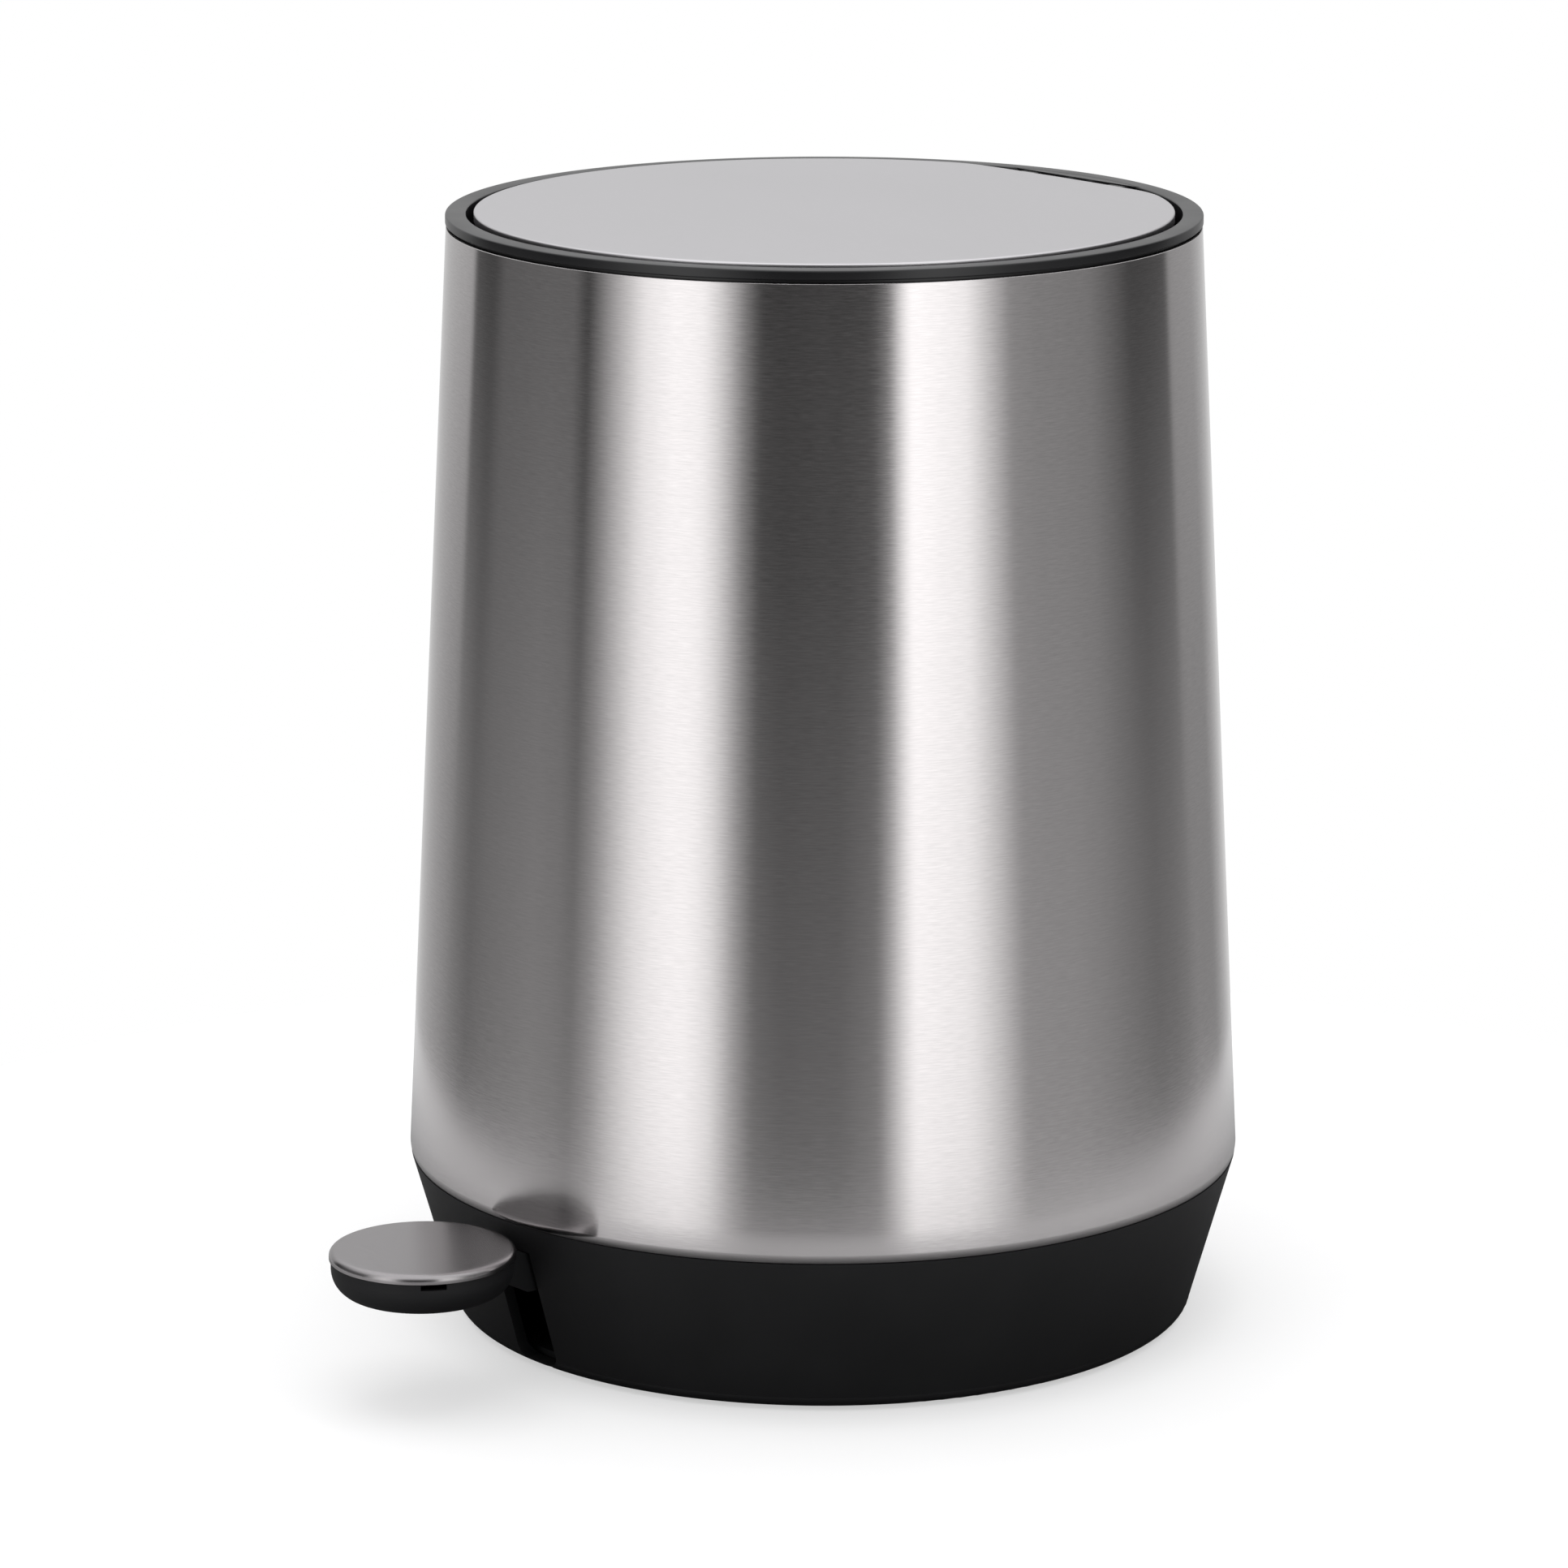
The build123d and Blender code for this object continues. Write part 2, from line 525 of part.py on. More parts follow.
# ================================================================ rod guide
GUIDE_LOW_Z = DECK_TOP_Z
GUIDE_TOP_Z = LEDGE_LOW_Z - 0.1
with BuildPart() as rod_guide:
    with BuildSketch(Plane.XY.offset(GUIDE_LOW_Z)):
        with Locations((0, 71.5)):
            Rectangle(18.0, 13.8)
        with Locations((0, 73.0)):
            Rectangle(14.8, 13.6, mode=Mode.SUBTRACT)
    extrude(amount=GUIDE_TOP_Z - GUIDE_LOW_Z)
    for side in (-1, 1):
        with Locations((side * 13.2, 73.0, DECK_TOP_Z + 1.0)):
            Box(9.0, 9.0, 2.0)
    with BuildSketch(Plane.XY.offset(GUIDE_LOW_Z)):
        with Locations((-13.5, 73.0), (13.5, 73.0)):
            Circle(1.6)
    extrude(amount=3.0, mode=Mode.SUBTRACT)
keep(rod_guide, "rod_guide")

with BuildPart() as guide_screws:
    for side in (-1, 1):
        with Locations((side * 13.5, 73.0, DECK_TOP_Z + 2.8)):
            Cylinder(2.8, 1.6)
        with Locations((side * 13.5, 73.0, DECK_TOP_Z - 2.4)):
            Cylinder(1.4, 9.0)
    fillet(guide_screws.faces().filter_by(Axis.Z).group_by(Axis.Z)[-1].edges(), 0.7)
keep(guide_screws, "guide_screws")

# ================================================================ pedal lever
LEVER_PATH = [
    (-18.0, 15.8),
    (-80.0, 21.4),
    (-89.0, 26.0),
    (-104.0, CUP_FLOOR_Z + 1.2),
    (-131.0, CUP_FLOOR_Z + 1.2),
]


def strip_outline(points, thickness):
    """Corner points of a bent strip of even thickness, seen from the side."""
    upper = []
    lower = []
    for i, (y, z) in enumerate(points):
        before = points[max(i - 1, 0)]
        after = points[min(i + 1, len(points) - 1)]
        run = math.hypot(after[0] - before[0], after[1] - before[1])
        ny = (after[1] - before[1]) / run
        nz = -(after[0] - before[0]) / run
        upper.append((y + ny * thickness / 2, z + nz * thickness / 2))
        lower.append((y - ny * thickness / 2, z - nz * thickness / 2))
    return upper + lower[::-1]


with BuildPart() as pedal_lever:
    with BuildSketch(Plane.YZ.offset(-4.0)):
        with BuildLine():
            Polyline(*strip_outline(LEVER_PATH, 2.4), close=True)
        make_face()
    extrude(amount=8.0)
    # Side flanges from ahead of the axle to the rear pin.
    for side in (-1, 1):
        with BuildSketch(Plane.YZ.offset(side * 5.0 - 1.0)):
            with Locations((AXLE_Y, AXLE_Z)):
                Circle(5.5)
            with Locations((LINK_Y, LINK_Z)):
                Circle(4.0)
            with Locations((-40.0, 17.8)):
                Circle(2.6)
            make_hull()
        extrude(amount=2.0)
    # Web that joins the flanges between the axle and the rod.
    with BuildSketch(Plane.YZ.offset(-4.5)):
        with BuildLine():
            Polyline((-22.0, 17.4), (-22.0, 15.0), (-8.0, 18.2), (8.0, 18.0), (60.0, 12.2),
                     (60.0, 10.2), (62.0, 10.0), (62.0, 12.4), (8.0, 20.0), (-8.0, 20.2), close=True)
        make_face()
    extrude(amount=9.0)
    with BuildSketch(Plane.YZ.offset(-10)):
        with Locations((AXLE_Y, AXLE_Z)):
            Circle(AXLE_R + 0.08)
        with Locations((LINK_Y, LINK_Z)):
            Circle(LINK_PIN_R)
    extrude(amount=20, mode=Mode.SUBTRACT)
    with BuildSketch(Plane.XY.offset(20.0)):
        with Locations((0, -112.0), (0, -125.0)):
            Circle(1.3)
    extrude(amount=15.0, mode=Mode.SUBTRACT)
keep(pedal_lever, "pedal_lever")

with BuildPart() as lever_axle:
    with Locations(Location((0, AXLE_Y, AXLE_Z), (0, 90, 0))):
        Cylinder(AXLE_R, 32.0)
    chamfer(lever_axle.edges().filter_by(GeomType.CIRCLE), 0.4)
keep(lever_axle, "lever_axle")

with BuildPart() as axle_spacers:
    for side in (-1, 1):
        with Locations(Location((side * 8.15, AXLE_Y, AXLE_Z), (0, 90, 0))):
            Cylinder(4.2, 3.5)
            Cylinder(AXLE_R, 6.0, mode=Mode.SUBTRACT)
keep(axle_spacers, "axle_spacers")

with BuildPart() as link_pin:
    with Locations(Location((0, LINK_Y, LINK_Z), (0, 90, 0))):
        Cylinder(LINK_PIN_R, 14.4)
    for side in (-1, 1):
        with Locations(Location((side * 6.6, LINK_Y, LINK_Z), (0, 90, 0))):
            Cylinder(3.0, 1.2)
keep(link_pin, "link_pin")

# ================================================================ pedal
with BuildPart() as pedal_cup:
    with BuildSketch(Plane.XY.offset(PEDAL_LOW_Z)):
        with Locations((0, PEDAL_Y)):
            Circle(PEDAL_CUP_R)
    extrude(amount=PEDAL_TOP_Z - 2.4 - PEDAL_LOW_Z)
    fillet(pedal_cup.edges().group_by(Axis.Z)[0], 6.4)
    # Neck that enters the base, hollow for the steel strip.
    with BuildSketch(Plane.YZ.offset(-5.9)):
        with BuildLine():
            Polyline((-106.5, 27.8), (-104.0, 26.1), (-97.0, 22.2), (-89.0, 21.8),
                     (-88.6, 30.4), (-96.0, 31.0), (-101.0, 33.4), (-106.5, 33.6), close=True)
        make_face()
    extrude(amount=11.8)
    # Inside of the cup.
    with BuildSketch(Plane.XY.offset(CUP_FLOOR_Z)):
        with Locations((0, PEDAL_Y)):
            Circle(PEDAL_CUP_R - 5.6)
    extrude(amount=10.0, mode=Mode.SUBTRACT)
    with BuildSketch(Plane.XY.offset(PEDAL_TOP_Z - 4.4)):
        with Locations((0, PEDAL_Y)):
            Circle(PEDAL_CUP_R - 1.6)
    extrude(amount=10.0, mode=Mode.SUBTRACT)
    # Passage for the strip.
    with BuildSketch(Plane.YZ.offset(-4.15)):
        with BuildLine():
            Polyline(*strip_outline(LEVER_PATH[1:], 2.7), close=True)
        make_face()
    extrude(amount=8.3, mode=Mode.SUBTRACT)
    with BuildSketch(Plane.XY.offset(PEDAL_LOW_Z - 1.0)):
        with Locations((0, -112.0), (0, -125.0)):
            Circle(1.6)
    extrude(amount=8.0, mode=Mode.SUBTRACT)
    # Snap notch in the upper edge.
    with Locations(Location((17.9, PEDAL_Y - 10.8, PEDAL_TOP_Z - 3.0), (0, 0, 59))):
        Box(6.0, 3.4, 1.4, mode=Mode.SUBTRACT)
keep(pedal_cup, "pedal_cup")

with BuildPart() as pedal_cap:
    with BuildSketch(Plane.XY.offset(PEDAL_TOP_Z - 2.3)):
        with Locations((0, PEDAL_Y)):
            Circle(PEDAL_CAP_R)
    extrude(amount=2.3)
    fillet(pedal_cap.edges().group_by(Axis.Z)[-1], 1.5)
    with BuildSketch(Plane.XY.offset(PEDAL_TOP_Z - 2.3)):
        with Locations((0, PEDAL_Y)):
            Circle(PEDAL_CAP_R - 0.7)
    extrude(amount=1.6, mode=Mode.SUBTRACT)
keep(pedal_cap, "pedal_cap")

with BuildPart() as pedal_screws:
    for y in (-112.0, -125.0):
        with Locations((0, y, PEDAL_LOW_Z - 0.6)):
            Cylinder(2.9, 1.2)
        with Locations((0, y, PEDAL_LOW_Z + 2.4)):
            Cylinder(1.3, 5.0)
    fillet(pedal_screws.faces().filter_by(Axis.Z).group_by(Axis.Z)[0].edges(), 0.5)
keep(pedal_screws, "pedal_screws")

with BuildPart() as pedal_stop:
    with Locations((0, -70.0, PLATE_TOP_Z + 1.8)):
        Cylinder(4.0, 3.6)
    fillet(pedal_stop.edges().group_by(Axis.Z)[-1], 0.8)
keep(pedal_stop, "pedal_stop")

# ================================================================ inner bucket
BUCKET_TAPER = -math.degrees(math.atan(BUCKET_FLARE / (BUCKET_BODY_TOP_Z - BUCKET_LOW_Z)))
BUCKET_TOP_R = BUCKET_LOW_R + BUCKET_FLARE
BUCKET_TOP_FLAT_Y = BUCKET_FLAT_Y + BUCKET_FLARE
with BuildPart() as inner_bucket:
    add(flat_backed_disc(BUCKET_LOW_R, BUCKET_FLAT_Y, 10.0, BUCKET_LOW_Z))
    extrude(amount=BUCKET_BODY_TOP_Z - BUCKET_LOW_Z, taper=BUCKET_TAPER)
    add(flat_backed_disc(BUCKET_TOP_R + 1.4, BUCKET_TOP_FLAT_Y + 1.4, 13.0, BUCKET_BODY_TOP_Z))
    extrude(amount=BUCKET_TOP_Z - BUCKET_BODY_TOP_Z)
    add(flat_backed_disc(BUCKET_LOW_R - BUCKET_WALL, BUCKET_FLAT_Y - BUCKET_WALL, 9.0,
                         BUCKET_LOW_Z + 2.0))
    extrude(amount=BUCKET_TOP_Z - BUCKET_LOW_Z, taper=BUCKET_TAPER, mode=Mode.SUBTRACT)
    with BuildSketch(Plane.YZ.offset(-90)):
        with Locations((0, BAIL_Z)):
            Circle(BAIL_WIRE_R + 0.08)
    extrude(amount=180, mode=Mode.SUBTRACT)
keep(inner_bucket, "inner_bucket")

with BuildPart() as bucket_bail:
    with BuildSketch(Plane.XZ):
        with Locations((BAIL_RING_R, BAIL_Z)):
            Circle(BAIL_WIRE_R)
    revolve(axis=Axis.Z, revolution_arc=-180)
    for side in (-1, 1):
        with Locations(Location((side * 76.2, 0, BAIL_Z), (0, 90, 0))):
            Cylinder(BAIL_WIRE_R, 6.0)
keep(bucket_bail, "bucket_bail")

with BuildPart() as bail_grip:
    with BuildSketch(Plane.YZ) as grip_end:
        with Locations((-BAIL_RING_R, BAIL_Z)):
            Circle(2.4)
            Circle(BAIL_WIRE_R, mode=Mode.SUBTRACT)
    revolve(grip_end.sketch, axis=Axis.Z, revolution_arc=22)
    revolve(grip_end.sketch, axis=Axis.Z, revolution_arc=-22)
keep(bail_grip, "bail_grip")
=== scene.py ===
"""Looks of a pedal trash can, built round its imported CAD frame."""

import json
import logging
import math
from dataclasses import dataclass
from enum import Enum
from typing import Sequence

import bpy
import numpy as np
from mathutils import Matrix, Vector


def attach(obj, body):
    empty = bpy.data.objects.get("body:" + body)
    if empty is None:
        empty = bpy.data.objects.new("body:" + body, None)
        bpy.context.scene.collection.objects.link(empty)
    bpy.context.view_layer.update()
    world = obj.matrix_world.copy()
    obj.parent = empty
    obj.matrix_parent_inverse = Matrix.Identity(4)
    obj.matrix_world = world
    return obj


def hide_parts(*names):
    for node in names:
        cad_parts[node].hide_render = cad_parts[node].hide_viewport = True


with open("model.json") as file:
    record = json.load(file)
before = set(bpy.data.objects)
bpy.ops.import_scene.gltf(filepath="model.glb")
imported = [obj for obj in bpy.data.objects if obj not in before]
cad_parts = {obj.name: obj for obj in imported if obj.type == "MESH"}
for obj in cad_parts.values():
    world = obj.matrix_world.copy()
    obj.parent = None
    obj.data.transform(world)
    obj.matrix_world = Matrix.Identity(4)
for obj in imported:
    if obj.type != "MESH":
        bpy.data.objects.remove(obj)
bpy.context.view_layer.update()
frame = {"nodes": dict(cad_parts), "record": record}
log = logging.getLogger("pedal_can")
MM = 0.001


# ---------------------------------------------------------------------------
# Surfaces worked out on grids
# ---------------------------------------------------------------------------
def arc(centre: tuple[float, float], radius: float, start: float, end: float, count: int) -> np.ndarray:
    """Points on a circle: centre plus radius times (cos, sin) of evenly spaced angles.

    Args:
        centre: Centre of the circle in the profile plane, in millimetres.
        radius: Radius in millimetres.
        start: First angle in degrees.
        end: Last angle in degrees.
        count: Number of points, both ends included.

    Returns:
        An array of shape (count, 2).
    """
    angles = np.radians(np.linspace(start, end, count))
    return np.column_stack((centre[0] + radius * np.cos(angles), centre[1] + radius * np.sin(angles)))


def curve_through(a: Sequence[float], b: Sequence[float], c: Sequence[float], count: int) -> np.ndarray:
    """Points of the parabola that passes a, b and c at parameters 0, one half and 1.

    Args:
        a: First point.
        b: Middle point.
        c: Last point.
        count: Number of points, both ends included.

    Returns:
        An array of shape (count, 2).
    """
    t = np.linspace(0.0, 1.0, count)[:, None]
    first, middle, last = (np.asarray(p, float)[None, :] for p in (a, b, c))
    return first * (1 - t) * (1 - 2 * t) + middle * 4 * t * (1 - t) + last * t * (2 * t - 1)


def straight(a: Sequence[float], b: Sequence[float], count: int) -> np.ndarray:
    """Evenly spaced points from a to b: a plus t times (b minus a).

    Args:
        a: First point.
        b: Last point.
        count: Number of points, both ends included.

    Returns:
        An array of shape (count, 2).
    """
    t = np.linspace(0.0, 1.0, count)[:, None]
    return np.asarray(a, float) * (1 - t) + np.asarray(b, float) * t


def without_repeats(profile: np.ndarray) -> np.ndarray:
    """Drops each profile point that repeats the one before it."""
    step = np.linalg.norm(np.diff(profile, axis=0), axis=1)
    return profile[np.concatenate(([True], step > 1e-6))]


@dataclass
class Surface:
    """A mesh kept as arrays until it is put into Blender.

    The vertices are in millimetres in the row frame, and each face corner has a
    surface coordinate in metres, so patterns keep their real size.
    """

    points: np.ndarray
    faces: list[np.ndarray]
    chart: list[np.ndarray]

    def outward(self) -> "Surface":
        """Turns every face round if the signed volume, a sum of corner triple products, is negative.

        Returns:
            The same surface, with its faces outwards.
        """
        volume = 0.0
        for group in self.faces:
            p0 = self.points[group[:, 0]]
            for i in range(1, group.shape[1] - 1):
                p1, p2 = self.points[group[:, i]], self.points[group[:, i + 1]]
                volume += float(np.einsum("ij,ij->i", p0, np.cross(p1, p2)).sum())
        if volume < 0:
            self.faces = [g[:, ::-1] for g in self.faces]
            self.chart = [c[:, ::-1] for c in self.chart]
        return self

    def to_object(self, name: str, crease_deg: float = 40.0) -> bpy.types.Object:
        """Puts the arrays into a smooth-shaded mesh object.

        Args:
            name: Name of the piece.
            crease_deg: Edges bent by more than this stay sharp.

        Returns:
            The object, linked to the scene at the origin.
        """
        mesh = bpy.data.meshes.new(name)
        sizes = np.concatenate([np.full(len(g), g.shape[1]) for g in self.faces])
        corners = np.concatenate([g.ravel() for g in self.faces])
        mesh.vertices.add(len(self.points))
        mesh.vertices.foreach_set("co", (self.points * MM).ravel().astype(np.float32))
        mesh.loops.add(len(corners))
        mesh.loops.foreach_set("vertex_index", corners.astype(np.int32))
        mesh.polygons.add(len(sizes))
        starts = np.concatenate(([0], np.cumsum(sizes)[:-1])).astype(np.int32)
        mesh.polygons.foreach_set("loop_start", starts)
        mesh.update(calc_edges=True)
        uv = np.concatenate([c.reshape(-1, 2) for c in self.chart])
        layer = mesh.uv_layers.new(name="surface")
        layer.uv.foreach_set("vector", uv.ravel().astype(np.float32))
        mesh.polygons.foreach_set("use_smooth", np.ones(len(sizes), bool))
        mesh.set_sharp_from_angle(angle=math.radians(crease_deg))
        mesh.validate()
        made = bpy.data.objects.new(name, mesh)
        bpy.context.scene.collection.objects.link(made)
        return made


def ring_stack(rings: np.ndarray, lengths: np.ndarray, closed: bool) -> Surface:
    """Joins rings of points into a surface, quad by quad.

    Point (i, j) is column j of ring i. Each quad joins columns j and j + 1 of two
    neighbouring rings. A stack that isn't closed ends in a fan at each end ring's centre.

    Args:
        rings: Array of shape (ring, column, 3), in millimetres.
        lengths: Distance along the profile at each ring, in millimetres.
        closed: True if the last ring joins the first one.

    Returns:
        The closed surface.
    """
    count, columns, _ = rings.shape
    points = rings.reshape(-1, 3)
    i = np.arange(count if closed else count - 1)
    j = np.arange(columns)
    ii, jj = np.meshgrid(i, j, indexing="ij")
    up, on = (ii + 1) % count, (jj + 1) % columns
    quads = np.stack((ii * columns + jj, ii * columns + on, up * columns + on, up * columns + jj), axis=-1)
    radius = np.linalg.norm(rings[:, :, :2] - rings[:, :, :2].mean(1, keepdims=True), axis=2).mean()
    around = 2 * math.pi * radius / columns
    span = np.diff(np.concatenate((lengths, [lengths[-1] + 1.0])))
    v0, v1 = lengths[ii], lengths[ii] + span[ii]
    u0, u1 = jj * around, (jj + 1) * around
    chart = np.stack((np.stack((u0, v0), -1), np.stack((u1, v0), -1), np.stack((u1, v1), -1),
                      np.stack((u0, v1), -1)), axis=-2)
    faces, charts = [quads.reshape(-1, 4)], [chart.reshape(-1, 4, 2) * MM]
    if not closed:
        for ring, side in ((0, 1), (count - 1, -1)):
            middle = rings[ring].mean(0)
            points = np.vstack((points, middle))
            fan = np.stack((np.full(columns, len(points) - 1), ring * columns + (j + 1) % columns,
                            ring * columns + j), axis=-1)[:, ::side]
            flat = (points[fan][:, :, :2] - middle[:2]) * MM
            faces.append(fan)
            charts.append(flat)
    return Surface(points, faces, charts).outward()


def turned(profile: np.ndarray, columns: int, closed: bool,
           centre: tuple[float, float] = (0.0, 0.0)) -> Surface:
    """A profile turned round a vertical axis: x = r cos a, y = r sin a, z unchanged.

    Args:
        profile: Radius and height pairs in millimetres.
        columns: Number of steps round the axis.
        closed: True if the profile is a loop, False if it runs from pole to pole.
        centre: The axis in plan, in millimetres.

    Returns:
        The surface of revolution.
    """
    profile = without_repeats(profile)
    angles = np.linspace(0, 2 * math.pi, columns, endpoint=False) + math.pi / 2
    rings = np.empty((len(profile), columns, 3))
    rings[:, :, 0] = centre[0] + profile[:, :1] * np.cos(angles)
    rings[:, :, 1] = centre[1] + profile[:, :1] * np.sin(angles)
    rings[:, :, 2] = profile[:, 1:2]
    lengths = np.concatenate(([0.0], np.cumsum(np.linalg.norm(np.diff(profile, axis=0), axis=1))))
    return ring_stack(rings, lengths, closed)


def joined(parts: Sequence[Surface]) -> Surface:
    """Puts several closed surfaces into one: the face indices shift by the points before them.

    Args:
        parts: The surfaces to join.

    Returns:
        One surface with every face.
    """
    shifts = np.cumsum([0] + [len(part.points) for part in parts[:-1]])
    faces = [group + shift for part, shift in zip(parts, shifts) for group in part.faces]
    chart = [group for part in parts for group in part.chart]
    return Surface(np.vstack([part.points for part in parts]), faces, chart)


def prism(outline: np.ndarray, low: float, high: float, sideways: bool = False) -> Surface:
    """A flat outline pushed from one level to another, with both ends closed.

    Args:
        outline: Array of shape (count, 2): X and Y, or Y and Z if sideways.
        low: First level in millimetres.
        high: Second level in millimetres.
        sideways: True to push along X, False to push along Z.

    Returns:
        The closed surface.
    """
    levels = np.array([low, high])
    rings = np.empty((2, len(outline), 3))
    flat, push = ((1, 2), 0) if sideways else ((0, 1), 2)
    rings[:, :, flat[0]] = outline[:, 0]
    rings[:, :, flat[1]] = outline[:, 1]
    rings[:, :, push] = levels[:, None]
    return ring_stack(rings, np.array([0.0, high - low]), False)


# ---------------------------------------------------------------------------
# Finishes
# ---------------------------------------------------------------------------
# Places of the colour sockets on a mix node, which has sockets of the same name for each kind of value.
MIX_AMOUNT, MIX_FIRST, MIX_SECOND, MIX_RESULT = 0, 6, 7, 2


class Course(Enum):
    """Which way the brush marks of a steel sheet run."""

    ROUND_THE_TUBE = "round the tube"
    STRAIGHT = "straight"


class Graph:
    """A material's node tree, with short calls that add and join nodes."""

    def __init__(self, name: str) -> None:
        """Makes the material with one shader and its output.

        Args:
            name: Name of the material.
        """
        self.material = bpy.data.materials.new(name)
        self.material.use_nodes = True
        self.tree = self.material.node_tree
        self.tree.nodes.clear()
        self.shader = self.tree.nodes.new("ShaderNodeBsdfPrincipled")
        out = self.tree.nodes.new("ShaderNodeOutputMaterial")
        self.tree.links.new(self.shader.outputs["BSDF"], out.inputs["Surface"])

    def set(self, **sockets: object) -> None:
        """Sets constant values on the shader; an underscore stands for a space."""
        for name, value in sockets.items():
            self.shader.inputs[name.replace("_", " ")].default_value = value

    def feed(self, socket: str, source: bpy.types.NodeSocket) -> None:
        """Joins a result to one of the shader's sockets."""
        self.tree.links.new(source, self.shader.inputs[socket])

    def coordinates(self, scale: Sequence[float], of_surface: bool) -> bpy.types.NodeSocket:
        """Object or surface coordinates in metres times a scale.

        Args:
            scale: Factor for each axis, so 1000 makes a unit a millimetre.
            of_surface: True for the piece's own surface chart, False for Object coordinates.

        Returns:
            The scaled vector.
        """
        source = self.tree.nodes.new("ShaderNodeTexCoord")
        mapping = self.tree.nodes.new("ShaderNodeMapping")
        mapping.inputs["Scale"].default_value = scale
        self.tree.links.new(source.outputs["UV" if of_surface else "Object"], mapping.inputs["Vector"])
        return mapping.outputs["Vector"]

    def noise(self, vector: bpy.types.NodeSocket, detail: float = 2.0,
              roughness: float = 0.5) -> bpy.types.NodeSocket:
        """Smooth noise between 0 and 1, with waves one unit of the vector long.

        Args:
            vector: Where the noise is read.
            detail: Number of finer layers.
            roughness: Share of each finer layer.

        Returns:
            The noise.
        """
        node = self.tree.nodes.new("ShaderNodeTexNoise")
        node.inputs["Scale"].default_value = 1.0
        node.inputs["Detail"].default_value = detail
        node.inputs["Roughness"].default_value = roughness
        self.tree.links.new(vector, node.inputs["Vector"])
        return node.outputs["Fac"]

    def spots(self, vector: bpy.types.NodeSocket, reach: float) -> bpy.types.NodeSocket:
        """Small dots, one in each unit cell of the vector.

        Args:
            vector: Where the dots are read.
            reach: Radius of a dot in cells.

        Returns:
            1 at the centre of a dot, falling to 0 at its edge.
        """
        node = self.tree.nodes.new("ShaderNodeTexVoronoi")
        node.inputs["Scale"].default_value = 1.0
        self.tree.links.new(vector, node.inputs["Vector"])
        return self.spread(node.outputs["Distance"], 0.0, reach, 1.0, 0.0)

    def spread(self, value: bpy.types.NodeSocket, from_low: float, from_high: float, to_low: float,
               to_high: float) -> bpy.types.NodeSocket:
        """Maps one range to another, held at both ends.

        Args:
            value: The value to map.
            from_low: Value that becomes to_low.
            from_high: Value that becomes to_high.
            to_low: Result at the low end.
            to_high: Result at the high end.

        Returns:
            The mapped value.
        """
        node = self.tree.nodes.new("ShaderNodeMapRange")
        node.clamp = True
        self.tree.links.new(value, node.inputs["Value"])
        for name, number in (("From Min", from_low), ("From Max", from_high), ("To Min", to_low),
                             ("To Max", to_high)):
            node.inputs[name].default_value = number
        return node.outputs["Result"]

    def sum(self, first: bpy.types.NodeSocket, second: bpy.types.NodeSocket) -> bpy.types.NodeSocket:
        """Adds two values.

        Args:
            first: One value.
            second: The other value.

        Returns:
            Their sum.
        """
        node = self.tree.nodes.new("ShaderNodeMath")
        node.operation = "ADD"
        self.tree.links.new(first, node.inputs[0])
        self.tree.links.new(second, node.inputs[1])
        return node.outputs[0]

    def blend(self, amount: bpy.types.NodeSocket, low: Sequence[float],
              high: Sequence[float]) -> bpy.types.NodeSocket:
        """A colour between two colours.

        Args:
            amount: 0 for the low colour, 1 for the high one.
            low: First colour.
            high: Second colour.

        Returns:
            The blended colour.
        """
        node = self.tree.nodes.new("ShaderNodeMix")
        node.data_type = "RGBA"
        node.inputs[MIX_FIRST].default_value = (*low, 1.0)
        node.inputs[MIX_SECOND].default_value = (*high, 1.0)
        self.tree.links.new(amount, node.inputs[MIX_AMOUNT])
        return node.outputs[MIX_RESULT]

    def relief(self, height: bpy.types.NodeSocket, depth_mm: float) -> None:
        """Bumps the surface by a height field.

        Args:
            height: The height field, 0 to 1.
            depth_mm: Depth of the relief in millimetres.
        """
        node = self.tree.nodes.new("ShaderNodeBump")
        node.inputs["Strength"].default_value = 1.0
        node.inputs["Distance"].default_value = depth_mm * MM
        self.tree.links.new(height, node.inputs["Height"])
        self.feed("Normal", node.outputs["Normal"])

    def lay_grain(self, turn: float) -> None:
        """Lays the shader's stretched highlight along the surface chart.

        Args:
            turn: Turn of the highlight as a part of a circle.
        """
        node = self.tree.nodes.new("ShaderNodeTangent")
        node.direction_type = "UV_MAP"
        node.uv_map = "surface"
        self.feed("Tangent", node.outputs["Tangent"])
        self.shader.inputs["Anisotropic Rotation"].default_value = turn


def shade(colour: Sequence[float], factor: float) -> tuple[float, float, float]:
    """A colour times a factor."""
    return tuple(float(c) * factor for c in colour)


